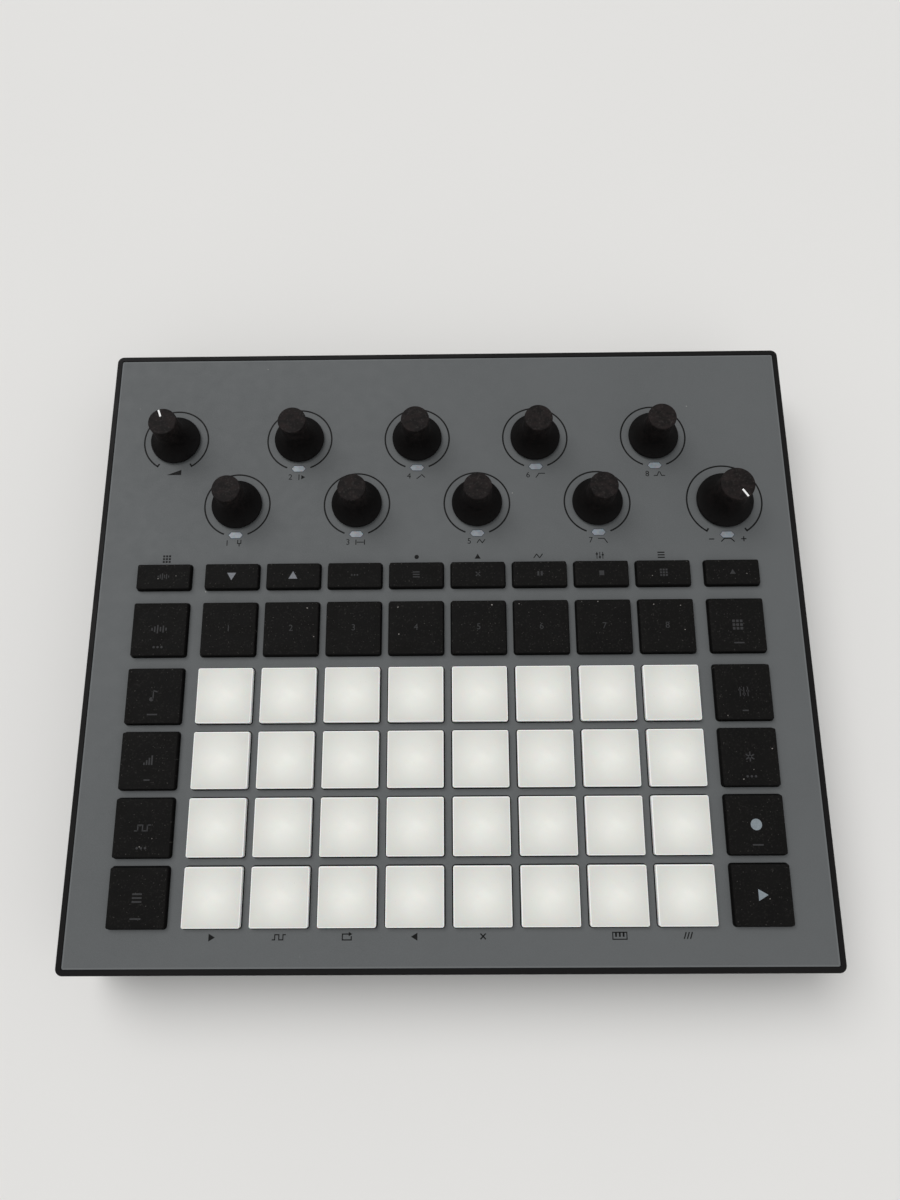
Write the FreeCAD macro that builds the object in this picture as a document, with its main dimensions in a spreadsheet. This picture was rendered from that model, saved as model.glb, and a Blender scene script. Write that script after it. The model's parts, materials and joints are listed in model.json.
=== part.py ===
import FreeCAD, Part
import math
import os
import re
import Sketcher
from FreeCAD import Placement, Rotation, Vector

# A desktop groovebox: 32 pads in 4 rows, 28 keys and 10 knobs on a flat panel.
# The origin is under the middle of the case, on the surface that the feet stand on.
# X runs to the player's right, Y towards the sockets at the rear, Z up. Millimetres.

SIZES = {
    # Panel layout, from the front edge to the rear and from the middle to the side
    "key_pitch": 20.84,
    "side_step": 23.11,
    "side_margin": 23.95,
    "front_margin": 22.64,
    "track_step": 22.29,
    "menu_step": 18.25,
    "knob_step": 26.2,
    "knob_stagger": 24.5,
    "rear_margin": 33.6,
    # Case shells
    "foot_height": 2.0,
    "foot_radius": 6.0,
    "foot_inset": 18.0,
    "body_height": 27.4,
    "floor_thickness": 2.4,
    "wall_thickness": 2.4,
    "case_corner": 2.3,
    "floor_round": 1.6,
    "upper_depth": 7.7,
    "rim_width": 1.8,
    "rim_rise": 0.3,
    "rim_round": 0.55,
    "ledge_width": 1.6,
    "ledge_thickness": 2.2,
    "plate_thickness": 2.0,
    "plate_gap": 0.12,
    "plate_corner": 0.6,
    # Keys and pads
    "key_size": 17.7,
    "key_corner": 0.6,
    "key_rise": 2.0,
    "key_edge": 0.35,
    "key_gap": 0.36,
    "menu_key_depth": 8.3,
    "lip_width": 0.95,
    "lip_thickness": 1.2,
    "seat_gap": 0.3,
    "key_travel": 1.0,
    "pad_travel": 0.5,
    "dome_gap": 0.3,
    "dome_radius": 3.6,
    "menu_dome_radius": 2.8,
    "mat_thickness": 1.0,
    "mat_border": 1.2,
    # Knobs, their shafts and the parts that turn with them
    "knob_radius": 8.7,
    "stem_radius": 4.8,
    "filter_knob_radius": 9.8,
    "filter_stem_radius": 5.7,
    "knob_rise": 15.6,
    "knob_gap": 0.5,
    "knob_rim": 0.9,
    "flare_height": 8.0,
    "knob_edge": 0.4,
    "knob_wall": 1.3,
    "shaft_radius": 3.0,
    "shaft_fit": 0.05,
    "shaft_flat": 0.7,
    "shaft_foot": 0.8,
    "hub_fit": 0.02,
    "knob_roof": 2.6,
    "bush_wall": 0.9,
    "bush_rise": 1.9,
    "bush_gap": 0.3,
    "encoder_width": 12.0,
    "pot_width": 10.6,
    # Light windows under the knobs
    "window_length": 4.8,
    "window_width": 2.2,
    "window_corner": 0.95,
    "window_gap": 0.08,
    "window_drop": 11.0,
    "filter_window_drop": 12.3,
    # Boards and battery
    "board_drop": 9.0,
    "board_thickness": 1.6,
    "board_side_inset": 13.0,
    "board_front_inset": 5.0,
    "board_rear_inset": 21.0,
    "post_radius": 2.5,
    "post_inset": 12.0,
    "jack_board_lift": 0.8,
    "jack_board_depth": 27.6,
    "jack_board_inset": 14.0,
    "battery_width": 56.0,
    "battery_depth": 48.0,
    "battery_height": 9.0,
    "battery_gap": 0.3,
    "rib_thickness": 1.2,
    "rib_height": 4.0,
    "header_width": 40.0,
    "header_depth": 5.0,
    # Screws and their bosses
    "screw_radius": 1.5,
    "thread_fit": 0.05,
    "screw_gap": 0.2,
    "head_radius": 2.8,
    "head_height": 1.7,
    "head_gap": 0.3,
    "drive_radius": 1.2,
    "drive_depth": 0.9,
    "boss_radius": 4.2,
    # Sockets in the rear wall
    "socket_rise": 11.2,
    "socket_gap": 0.15,
    "socket_inset": 0.1,
    "din_nose_radius": 7.8,
    "din_width": 18.0,
    "din_depth": 13.0,
    "din_top": 7.4,
    "din_groove_radius": 6.8,
    "din_core_radius": 5.9,
    "din_groove_depth": 9.0,
    "din_pin_circle": 3.75,
    "din_pin_radius": 0.75,
    "din_step": 20.5,
    "din_start": 0.0,
    "line_nose_radius": 4.8,
    "line_bore_radius": 3.25,
    "line_width": 13.0,
    "line_depth": 25.0,
    "line_top": 5.0,
    "line_step": 16.5,
    "line_start": 33.5,
    "mini_nose_radius": 3.0,
    "mini_bore_radius": 1.8,
    "mini_width": 7.0,
    "mini_depth": 13.0,
    "mini_top": 3.2,
    "sync_offset": 18.0,
    "phones_offset": 99.5,
    "usb_width": 8.94,
    "usb_height": 3.2,
    "usb_shell": 0.3,
    "usb_depth": 8.0,
    "usb_rise": 1.7,
    "usb_tongue": 0.7,
    "usb_offset": 77.0,
    "card_width": 13.6,
    "card_height": 1.9,
    "card_depth": 15.0,
    "card_slot_width": 11.6,
    "card_slot_height": 0.9,
    "card_offset": 61.0,
    "power_radius": 3.3,
    "power_collar": 0.9,
    "power_stem": 4.4,
    "power_travel": 1.0,
    "power_offset": 91.5,
    "lock_width": 7.2,
    "lock_height": 3.2,
    "lock_offset": 103.0,
}

PAD_COLUMNS = 8
PAD_ROWS = 4
KNOBS_IN_ROW = 4
DIN_SOCKETS = 3
DIN_PINS = 5
LINE_JACKS = 4
HEX_SIDES = 6

document = FreeCAD.newDocument("groovebox")
sheet = document.addObject("Spreadsheet::Sheet", "sizes")
for row, (alias, number) in enumerate(SIZES.items(), start=1):
    sheet.set(f"A{row}", alias)
    sheet.set(f"B{row}", str(number))
    sheet.setAlias(f"B{row}", alias)
document.recompute()

# Places worked out from the sizes, as expressions

CASE_WIDTH = f"({PAD_COLUMNS - 1} * key_pitch + 2 * side_step + 2 * side_margin)"
CASE_DEPTH = (
    f"(front_margin + {PAD_ROWS - 1} * key_pitch + track_step + menu_step"
    " + knob_step + knob_stagger + rear_margin)"
)
FIRST_COLUMN = f"(-{(PAD_COLUMNS - 1) / 2} * key_pitch)"
SIDE_COLUMN = f"({(PAD_COLUMNS - 1) / 2} * key_pitch + side_step)"
FRONT_ROW = f"(front_margin - {CASE_DEPTH} / 2)"
TRACK_ROW = f"({FRONT_ROW} + {PAD_ROWS - 1} * key_pitch + track_step)"
MENU_ROW = f"({TRACK_ROW} + menu_step)"
LOWER_KNOBS = f"({MENU_ROW} + knob_step)"
UPPER_KNOBS = f"({LOWER_KNOBS} + knob_stagger)"

PANEL_TOP = "(foot_height + body_height)"
PLATE_UNDER = f"({PANEL_TOP} - plate_thickness)"
PLATE_TOOL_FOOT = f"({PLATE_UNDER} - 1)"
THROUGH_PLATE = "(plate_thickness + 2)"
RIM_TOP = f"({PANEL_TOP} + rim_rise)"
PARTING = f"({RIM_TOP} - upper_depth)"
FLOOR_TOP = "(foot_height + floor_thickness)"
LIP_TOP = f"({PLATE_UNDER} - seat_gap)"
LIP_UNDER = f"({LIP_TOP} - lip_thickness)"
BOARD_TOP = f"({PANEL_TOP} - board_drop)"
BOARD_UNDER = f"({BOARD_TOP} - board_thickness)"
JACK_BOARD_UNDER = f"({FLOOR_TOP} + jack_board_lift)"
JACK_BOARD_TOP = f"({JACK_BOARD_UNDER} + board_thickness)"
SOCKET_AXIS = "(foot_height + socket_rise)"

REAR_FACE = f"({CASE_DEPTH} / 2)"
REAR_INNER = f"({REAR_FACE} - wall_thickness)"
SOCKET_FRONT = f"({REAR_INNER} - socket_inset)"
BOARD_WIDTH = f"({CASE_WIDTH} - 2 * board_side_inset)"
BOARD_DEPTH = f"({CASE_DEPTH} - board_front_inset - board_rear_inset)"
BOARD_MIDDLE = "((board_front_inset - board_rear_inset) / 2)"
JACK_BOARD_WIDTH = f"({CASE_WIDTH} - 2 * jack_board_inset)"
JACK_BOARD_BACK = f"({SOCKET_FRONT} - socket_gap)"
SCREW_INSET = "(wall_thickness + 0.95 * boss_radius)"
SCREW_X = f"({CASE_WIDTH} / 2 - {SCREW_INSET})"
SCREW_Y = f"({CASE_DEPTH} / 2 - {SCREW_INSET})"
BUSH_RADIUS = "(shaft_radius + shaft_fit + bush_wall)"
BATTERY_Y = f"({BOARD_MIDDLE} - ({BOARD_DEPTH} / 2 - post_inset) / 2)"
USB_AXIS = f"({JACK_BOARD_TOP} + usb_rise)"
CARD_AXIS = f"({JACK_BOARD_TOP} + card_height / 2)"
HEADER_X = "(din_start + din_step)"
POWER_BACK = f"({REAR_INNER} - seat_gap - power_stem)"


def bound(text):
    """Point every size's name in an expression at its cell in the sheet."""
    return re.sub(r"[a-z_]+", lambda found: name_in_sheet(found.group(0)), str(text))


def name_in_sheet(word):
    return f"sizes.{word}" if word in SIZES else word


def value(text):
    """What an expression comes to now, in millimetres."""
    answer = sheet.evalExpression(bound(text))
    return float(getattr(answer, "Value", answer))


def bind(item, **sizes):
    for attribute, text in sizes.items():
        item.setExpression(attribute, bound(text))


def place(item, x, y, z):
    for axis, text in zip("xyz", (x, y, z)):
        item.setExpression(f"Placement.Base.{axis}", bound(text))


# Sketches and features of bodies


def new_body(name, x="0", y="0", z="0"):
    body = document.addObject("PartDesign::Body", name)
    place(body, x, y, z)
    return body


def origin_part(body, role):
    return next(part for part in body.Origin.OriginFeatures if part.Role == role)


def new_sketch(body, lift="0", role="XY_Plane"):
    sketch = body.newObject("Sketcher::SketchObject", f"{body.Name}_sketch")
    sketch.AttachmentSupport = (origin_part(body, role), [""])
    sketch.MapMode = "FlatFace"
    sketch.setExpression("AttachmentOffset.Base.z", bound(lift))
    return sketch


def constrain(sketch, fixed, dimensions):
    """Add constraints in one go; each dimension's value follows an expression."""
    driven = [
        Sketcher.Constraint(kind, *geometry, value(text))
        for kind, _name, text, geometry in dimensions
    ]
    indexes = sketch.addConstraint(fixed + driven)
    for index, (_kind, name, text, _geometry) in zip(indexes[len(fixed):], dimensions):
        sketch.renameConstraint(index, name)
        sketch.setExpression(f"Constraints.{name}", bound(text))


def draw_circles(sketch, radius, places):
    circles = [
        Part.Circle(Vector(value(x), value(y), 0), Vector(0, 0, 1), value(radius))
        for x, y in places
    ]
    dimensions = []
    for circle, (x, y) in zip(sketch.addGeometry(circles, False), places):
        dimensions.append(("Radius", f"radius{circle}", radius, (circle,)))
        dimensions.append(("DistanceX", f"across{circle}", x, (-1, 1, circle, 3)))
        dimensions.append(("DistanceY", f"along{circle}", y, (-1, 1, circle, 3)))
    constrain(sketch, [], dimensions)


def draw_rounded(sketch, width, depth, radius, x="0", y="0"):
    """A rectangle with rounded corners, its four corner arcs drawn first."""
    count = sketch.GeometryCount
    reach_x = f"(({width}) / 2 - ({radius}))"
    reach_y = f"(({depth}) / 2 - ({radius}))"
    middle = Vector(value(x), value(y), 0)
    across, along, bend = value(reach_x), value(reach_y), value(radius)
    signs = [(1, 1), (-1, 1), (-1, -1), (1, -1)]
    corners = [middle + Vector(sx * across, sy * along, 0) for sx, sy in signs]
    arcs = []
    for turn, corner in enumerate(corners):
        circle = Part.Circle(corner, Vector(0, 0, 1), bend)
        arcs.append(Part.ArcOfCircle(circle, turn * math.pi / 2, (turn + 1) * math.pi / 2))
    outward = [Vector(0, bend, 0), Vector(-bend, 0, 0), Vector(0, -bend, 0), Vector(bend, 0, 0)]
    lines = [
        Part.LineSegment(corners[turn] + outward[turn], corners[(turn + 1) % 4] + outward[turn])
        for turn in range(4)
    ]
    added = sketch.addGeometry(arcs + lines, False)
    arc, line = added[:4], added[4:]
    fixed = []
    for turn in range(4):
        fixed.append(Sketcher.Constraint("Tangent", arc[turn], 2, line[turn], 1))
        fixed.append(Sketcher.Constraint("Tangent", line[turn], 2, arc[(turn + 1) % 4], 1))
        fixed.append(Sketcher.Constraint("Vertical" if turn % 2 else "Horizontal", line[turn]))
    for turn in range(1, 4):
        fixed.append(Sketcher.Constraint("Equal", arc[0], arc[turn]))
    constrain(sketch, fixed, [
        ("Radius", f"radius{count}", radius, (arc[0],)),
        ("DistanceX", f"width{count}", f"2 * {reach_x}", (arc[1], 3, arc[0], 3)),
        ("DistanceY", f"depth{count}", f"2 * {reach_y}", (arc[2], 3, arc[1], 3)),
        ("DistanceX", f"across{count}", f"({x}) + {reach_x}", (-1, 1, arc[0], 3)),
        ("DistanceY", f"along{count}", f"({y}) + {reach_y}", (-1, 1, arc[0], 3)),
    ])


def pad_up(body, sketch, height):
    """Material from the sketch upwards."""
    feature = body.newObject("PartDesign::Pad", f"{body.Name}_pad")
    feature.Profile = sketch
    bind(feature, Length=height)
    return feature


def cut_down(body, sketch, depth):
    """A pocket from the sketch downwards."""
    feature = body.newObject("PartDesign::Pocket", f"{body.Name}_pocket")
    feature.Profile = sketch
    bind(feature, Length=depth)
    return feature


def repeat(body, feature, across, across_count, along="0", along_count=1, whole=False):
    """Repeat a feature, or the whole body, in steps along X and then along Y."""
    feature.recompute(True)
    pattern = body.newObject("PartDesign::LinearPattern", f"{body.Name}_pattern")
    if whole:
        body.AllowCompound = True
        pattern.TransformMode = "Whole shape"
    else:
        pattern.Originals = [feature]
    pattern.Direction = (origin_part(body, "X_Axis"), [""])
    pattern.Mode = "Extent"
    pattern.Occurrences = across_count
    bind(pattern, Length=f"{across_count - 1} * ({across})")
    if along_count > 1:
        pattern.Direction2 = (origin_part(body, "Y_Axis"), [""])
        pattern.Mode2 = "Extent"
        pattern.Occurrences2 = along_count
        bind(pattern, Length2=f"{along_count - 1} * ({along})")
    body.Tip = pattern
    return pattern


def round_edges(body, feature, radius, choose):
    """Fillet the edges around the faces that choose picks."""
    feature.recompute(True)
    faces = [f"Face{n}" for n, face in enumerate(feature.Shape.Faces, start=1) if choose(face)]
    fillet = body.newObject("PartDesign::Fillet", f"{body.Name}_fillet")
    fillet.Base = (feature, faces)
    bind(fillet, Radius=radius)
    return fillet


def facing_up(height):
    """Choose the level faces at a height in the body's own frame."""
    def choose(face):
        return abs(face.BoundBox.ZMin - value(height)) < 1e-6 and face.BoundBox.ZLength < 1e-6
    return choose


# Primitive solids


def block(name, width, depth, height, x, y, z):
    """A box centred on x and y that stands on z."""
    box = document.addObject("Part::Box", name)
    bind(box, Length=width, Width=depth, Height=height)
    place(box, f"({x}) - ({width}) / 2", f"({y}) - ({depth}) / 2", z)
    return box


def rod(name, radius, length, x, y, z, towards_rear=False):
    """A cylinder that rises from its foot, or runs towards the rear."""
    cylinder = document.addObject("Part::Cylinder", name)
    bind(cylinder, Radius=radius, Height=length)
    if towards_rear:
        cylinder.Placement = Placement(Vector(), Rotation(Vector(1, 0, 0), -90))
    place(cylinder, x, y, z)
    return cylinder


def cut(name, base, *tools):
    tool = tools[0] if len(tools) == 1 else fuse(f"{name}_tools", *tools)
    result = document.addObject("Part::Cut", name)
    result.Base = base
    result.Tool = tool
    return result


def fuse(name, *shapes):
    result = document.addObject("Part::MultiFuse", name)
    result.Shapes = list(shapes)
    return result


def group(name, shapes):
    """Several solids that stay separate in one sub-part."""
    result = document.addObject("Part::Compound", name)
    result.Links = list(shapes)
    return result


nodes = []


def keep(item, label):
    """Give a finished sub-part its name."""
    item.Label = label
    nodes.append(item)
    return item


# The grids of pads and keys: first column and row, step and count each way, depth of a key

KEY_GRIDS = {
    "pads": (FIRST_COLUMN, FRONT_ROW, "key_pitch", PAD_COLUMNS, "key_pitch", PAD_ROWS, "key_size"),
    "side": (f"-{SIDE_COLUMN}", FRONT_ROW, f"2 * {SIDE_COLUMN}", 2, "key_pitch", PAD_ROWS, "key_size"),
    "track": (FIRST_COLUMN, TRACK_ROW, "key_pitch", PAD_COLUMNS, "0", 1, "key_size"),
    "track_side": (f"-{SIDE_COLUMN}", TRACK_ROW, f"2 * {SIDE_COLUMN}", 2, "0", 1, "key_size"),
    "menu": (FIRST_COLUMN, MENU_ROW, "key_pitch", PAD_COLUMNS, "0", 1, "menu_key_depth"),
    "menu_side": (f"-{SIDE_COLUMN}", MENU_ROW, f"2 * {SIDE_COLUMN}", 2, "0", 1, "menu_key_depth"),
}

KEY_COLUMNS = (
    [f"-{SIDE_COLUMN}"]
    + [f"({FIRST_COLUMN} + {column} * key_pitch)" for column in range(PAD_COLUMNS)]
    + [SIDE_COLUMN]
)

TRACK_KEYS = ["sample_key"] + [f"track_key_{n}" for n in range(1, PAD_COLUMNS + 1)] + ["patterns_key"]
MENU_KEYS = [
    "sample_record_key", "page_down_key", "page_up_key", "step_page_key", "tempo_key",
    "clear_key", "duplicate_key", "save_key", "projects_key", "shift_key",
]
LEFT_KEYS = ["pattern_settings_key", "gate_key", "velocity_key", "note_key"]
RIGHT_KEYS = ["play_key", "record_key", "effects_key", "mixer_key"]


def knob_place(number):
    """Macro knobs 1 to 8 zigzag between the two knob rows, odd ones in the lower."""
    column = f"({FIRST_COLUMN} + {number - 1} * key_pitch)"
    return column, LOWER_KNOBS if number % 2 else UPPER_KNOBS


KNOBS = {"volume_knob": (f"-{SIDE_COLUMN}", UPPER_KNOBS)}
for number in range(1, 2 * KNOBS_IN_ROW + 1):
    KNOBS[f"macro_knob_{number}"] = knob_place(number)
KNOBS["filter_knob"] = (SIDE_COLUMN, LOWER_KNOBS)

DIN_PLACES = [f"(din_start + {n} * din_step)" for n in range(DIN_SOCKETS)]
LINE_PLACES = [f"(-(line_start + {n} * line_step))" for n in range(LINE_JACKS)]
MINI_PLACES = ["(-sync_offset)", "(-phones_offset)"]


def make_upper_case():
    body = new_body("upper_case", z=PARTING)
    outline = new_sketch(body)
    draw_rounded(outline, CASE_WIDTH, CASE_DEPTH, "case_corner")
    shell = pad_up(body, outline, "upper_depth")
    round_edges(body, shell, "rim_round", facing_up("upper_depth"))
    opening = new_sketch(body, "upper_depth")
    ledge_inset = "(2 * (rim_width + ledge_width))"
    inner_width = f"{CASE_WIDTH} - {ledge_inset}"
    inner_depth = f"{CASE_DEPTH} - {ledge_inset}"
    draw_rounded(opening, inner_width, inner_depth, "plate_corner")
    cut_down(body, opening, "upper_depth + 1")
    seat = new_sketch(body, "upper_depth")
    draw_rounded(seat, f"{CASE_WIDTH} - 2 * rim_width", f"{CASE_DEPTH} - 2 * rim_width", "plate_corner")
    cut_down(body, seat, "rim_rise + plate_thickness")
    ledge_under = "(upper_depth - rim_rise - plate_thickness - ledge_thickness)"
    below = new_sketch(body, ledge_under)
    wall_inset = "2 * wall_thickness"
    draw_rounded(below, f"{CASE_WIDTH} - {wall_inset}", f"{CASE_DEPTH} - {wall_inset}", "plate_corner")
    cut_down(body, below, "upper_depth")
    bosses = new_sketch(body)
    draw_circles(bosses, "boss_radius", screw_places())
    draw_circles(bosses, "screw_radius + thread_fit", screw_places())
    pad_up(body, bosses, "upper_depth - rim_rise - plate_thickness")
    return keep(body, "upper_case")


def screw_places():
    return [
        (f"{side} * {SCREW_X}", f"{end} * {SCREW_Y}")
        for side in (-1, 1)
        for end in (-1, 0, 1)
    ]


def make_lower_case():
    body = new_body("lower_case_shell", z="foot_height")
    height = f"({PARTING} - foot_height)"
    outline = new_sketch(body)
    draw_rounded(outline, CASE_WIDTH, CASE_DEPTH, "case_corner")
    shell = pad_up(body, outline, height)
    round_edges(body, shell, "floor_round", facing_up("0"))
    hollow = new_sketch(body, height)
    wall_inset = "2 * wall_thickness"
    draw_rounded(hollow, f"{CASE_WIDTH} - {wall_inset}", f"{CASE_DEPTH} - {wall_inset}", "plate_corner")
    cut_down(body, hollow, f"{height} - floor_thickness")
    bosses = new_sketch(body)
    draw_circles(bosses, "boss_radius", screw_places())
    pad_up(body, bosses, height)
    posts = new_sketch(body)
    draw_circles(posts, "post_radius", board_posts())
    pad_up(body, posts, f"{BOARD_UNDER} - foot_height")
    low_posts = new_sketch(body)
    draw_circles(low_posts, "post_radius", jack_board_posts())
    pad_up(body, low_posts, f"{JACK_BOARD_UNDER} - foot_height")
    rib = new_sketch(body)
    rib_width = "battery_width + 2 * battery_gap"
    rib_depth = "battery_depth + 2 * battery_gap"
    draw_rounded(rib, rib_width, rib_depth, "plate_corner", "0", BATTERY_Y)
    draw_rounded(
        rib, f"{rib_width} + 2 * rib_thickness", f"{rib_depth} + 2 * rib_thickness",
        "plate_corner + rib_thickness", "0", BATTERY_Y,
    )
    pad_up(body, rib, "floor_thickness + rib_height")
    screw_holes = new_sketch(body, height)
    wells = new_sketch(body, "head_height + head_gap")
    draw_circles(screw_holes, "screw_radius + screw_gap", screw_places())
    draw_circles(wells, "head_radius + head_gap", screw_places())
    cut_down(body, screw_holes, f"{height} + 1")
    cut_down(body, wells, "head_height + head_gap + 1")
    return keep(cut("lower_case", body, *rear_openings()), "lower_case")


def board_posts():
    """Twelve posts under the control board, in four columns."""
    reach_x = f"({BOARD_WIDTH} / 2 - post_inset)"
    reach_y = f"({BOARD_DEPTH} / 2 - post_inset)"
    return [
        (f"{across} * {reach_x}", f"{BOARD_MIDDLE} + {along} * {reach_y}")
        for across in (-1, "-1 / 3", "1 / 3", 1)
        for along in (-1, 0, 1)
    ]


def jack_board_posts():
    """Low posts along the front and rear edges of the jack board."""
    reach_x = f"({JACK_BOARD_WIDTH} / 2 - post_radius)"
    return [
        (f"{across} * {reach_x}", f"{JACK_BOARD_BACK} - ({inset})")
        for across in (-1, "-1 / 3", "1 / 3", 1)
        for inset in ("post_radius", "jack_board_depth - post_radius")
    ]


def wall_hole(name, radius, x, z):
    """A round tool that passes through the rear wall."""
    return rod(name, radius, "wall_thickness + 2", x, f"{REAR_INNER} - 1", z, towards_rear=True)


def wall_slot(name, width, height, x, z):
    """A rectangular tool that passes through the rear wall, centred on z."""
    middle = f"{REAR_FACE} - wall_thickness / 2"
    return block(name, width, "wall_thickness + 2", height, x, middle, f"({z}) - ({height}) / 2")


def rear_openings():
    tools = []
    for x in DIN_PLACES:
        tools.append(wall_hole("din_hole", "din_nose_radius + socket_gap", x, SOCKET_AXIS))
    for x in LINE_PLACES:
        tools.append(wall_hole("line_hole", "line_nose_radius + socket_gap", x, SOCKET_AXIS))
    for x in MINI_PLACES:
        tools.append(wall_hole("mini_hole", "mini_nose_radius + socket_gap", x, SOCKET_AXIS))
    tools.append(wall_hole("power_hole", "power_radius + bush_gap", "power_offset", SOCKET_AXIS))
    gap = "2 * socket_gap"
    usb = (f"usb_width + {gap}", f"usb_height + {gap}", "usb_offset", USB_AXIS)
    card = (f"card_width + {gap}", f"card_height + {gap}", "card_offset", CARD_AXIS)
    tools.append(wall_slot("usb_hole", *usb))
    tools.append(wall_slot("card_hole", *card))
    tools.append(wall_slot("lock_hole", "lock_width", "lock_height", "lock_offset", SOCKET_AXIS))
    return tools


def make_face_plate():
    """A sheet with an opening for every pad and key, and holes for bushes and windows."""
    body = new_body("panel_sheet", z=PLATE_UNDER)
    outline = new_sketch(body)
    inset = "2 * (rim_width + plate_gap)"
    draw_rounded(outline, f"{CASE_WIDTH} - {inset}", f"{CASE_DEPTH} - {inset}", "plate_corner")
    pad_up(body, outline, "plate_thickness")
    width = "key_size + 2 * key_gap"
    corner = "key_corner + key_gap"
    tools = []
    for x, y, across, columns, along, rows, depth in KEY_GRIDS.values():
        tool = hole_tool(width, f"{depth} + 2 * key_gap", corner, x, y)
        repeat(tool, tool.Tip, across, columns, along, rows, whole=True)
        tools.append(tool)
    for x, y in KNOBS.values():
        tools.append(rod("bush_hole", f"{BUSH_RADIUS} + bush_gap", THROUGH_PLATE, x, y, PLATE_TOOL_FOOT))
    length = "window_length + 2 * window_gap"
    width = "window_width + 2 * window_gap"
    for x, y in window_places():
        tools.append(hole_tool(length, width, "window_corner + window_gap", x, y))
    return keep(cut("panel_plate", body, group("panel_holes", tools)), "face_plate")


def hole_tool(width, depth, corner, x, y):
    """A rounded block that passes through the face plate."""
    body = new_body("panel_hole", x, y, PLATE_TOOL_FOOT)
    section = new_sketch(body)
    draw_rounded(section, width, depth, corner)
    pad_up(body, section, THROUGH_PLATE)
    return body


def window_places():
    """Under every knob but the volume."""
    places = []
    for name, (x, y) in KNOBS.items():
        drop = "filter_window_drop" if name == "filter_knob" else "window_drop"
        if name != "volume_knob":
            places.append((x, f"{y} - {drop}"))
    return places


def make_light_pipes():
    pipes = []
    for x, y in window_places():
        body = new_body("light_pipe", x, y, BOARD_TOP)
        section = new_sketch(body)
        draw_rounded(section, "window_length", "window_width", "window_corner")
        pad_up(body, section, "board_drop")
        pipes.append(body)
    return keep(group("light_pipe_set", pipes), "light_pipes")


def make_key(name, depth, x, y):
    """A key cap with a lip that holds it under the face plate."""
    body = new_body(name, x, y, LIP_UNDER)
    lip = new_sketch(body)
    lip_corner = "key_corner + lip_width"
    draw_rounded(lip, "key_size + 2 * lip_width", f"{depth} + 2 * lip_width", lip_corner)
    pad_up(body, lip, "lip_thickness")
    cap = new_sketch(body)
    draw_rounded(cap, "key_size", depth, "key_corner")
    height = "(lip_thickness + seat_gap + plate_thickness + key_rise)"
    top = pad_up(body, cap, height)
    round_edges(body, top, "key_edge", facing_up(height))
    return body


def make_keys():
    for names, y, depth in ((TRACK_KEYS, TRACK_ROW, "key_size"), (MENU_KEYS, MENU_ROW, "menu_key_depth")):
        for name, x in zip(names, KEY_COLUMNS):
            keep(make_key(name, depth, x, y), name)
    for names, x in ((LEFT_KEYS, f"-{SIDE_COLUMN}"), (RIGHT_KEYS, SIDE_COLUMN)):
        for row, name in enumerate(names):
            keep(make_key(name, "key_size", x, f"{FRONT_ROW} + {row} * key_pitch"), name)


def make_pad_rows():
    """Row 1 is the front row, next to the player."""
    for row in range(PAD_ROWS):
        name = f"pad_row_{row + 1}"
        body = make_key(name, "key_size", FIRST_COLUMN, f"{FRONT_ROW} + {row} * key_pitch")
        repeat(body, body.Tip, "key_pitch", PAD_COLUMNS, whole=True)
        keep(body, name)


def make_key_mat():
    """A rubber sheet with a dome under each pad and key."""
    width = f"(2 * {SIDE_COLUMN} + key_size + 2 * mat_border)"
    front = f"({FRONT_ROW} - key_size / 2 - mat_border)"
    back = f"({MENU_ROW} + menu_key_depth / 2 + mat_border)"
    body = new_body("key_mat", z=BOARD_TOP)
    outline = new_sketch(body)
    draw_rounded(outline, width, f"{back} - {front}", "key_corner", "0", f"({back} + {front}) / 2")
    pad_up(body, outline, "mat_thickness")
    for kind, (x, y, across, columns, along, rows, _depth) in KEY_GRIDS.items():
        travel = "pad_travel" if kind == "pads" else "key_travel"
        radius = "menu_dome_radius" if kind.startswith("menu") else "dome_radius"
        dome = new_sketch(body)
        draw_circles(dome, radius, [(x, y)])
        top = pad_up(body, dome, f"{LIP_UNDER} - {travel} - dome_gap - {BOARD_TOP}")
        repeat(body, top, across, columns, along, rows)
    return keep(body, "key_mat")


def make_knob(name, x, y, radius, stem):
    """A flared knob, hollow underneath, on its own D-shaped shaft."""
    body = new_body(f"{name}_cap", x, y, f"{PANEL_TOP} + knob_gap")
    height = "(knob_rise - knob_gap)"
    profile = new_sketch(body, role="XZ_Plane")
    draw_knob_profile(profile, radius, stem, height)
    turned = body.newObject("PartDesign::Revolution", f"{body.Name}_turned")
    turned.Profile = profile
    turned.ReferenceAxis = (profile, ["V_Axis"])
    turned.Angle = 360
    edge = round_edges(body, turned, "knob_edge", facing_up(height))
    well = new_sketch(body, "bush_rise")
    draw_circles(well, f"{BUSH_RADIUS} + knob_wall / 2", [("0", "0")])
    cut_down(body, well, "bush_rise + 1")
    bore = new_sketch(body, f"{height} - knob_roof")
    draw_d(bore, "shaft_radius + hub_fit", "shaft_radius - shaft_flat + hub_fit")
    cut_down(body, bore, f"{height} - knob_roof + 1")
    foot = f"({BOARD_TOP} + shaft_foot + hub_fit)"
    collar = f"({PANEL_TOP} + knob_gap + bush_rise)"
    top = f"({PANEL_TOP} + knob_rise - knob_roof)"
    round_part = rod(f"{name}_journal", "shaft_radius", f"{collar} - {foot}", x, y, foot)
    key_part = new_body(f"{name}_drive", x, y, collar)
    section = new_sketch(key_part)
    draw_d(section, "shaft_radius", "shaft_radius - shaft_flat")
    pad_up(key_part, section, f"{top} - {collar} - hub_fit")
    shaft = fuse(f"{name}_shaft", round_part, key_part)
    return keep(group(f"{name}_set", [body, shaft]), name)


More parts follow.
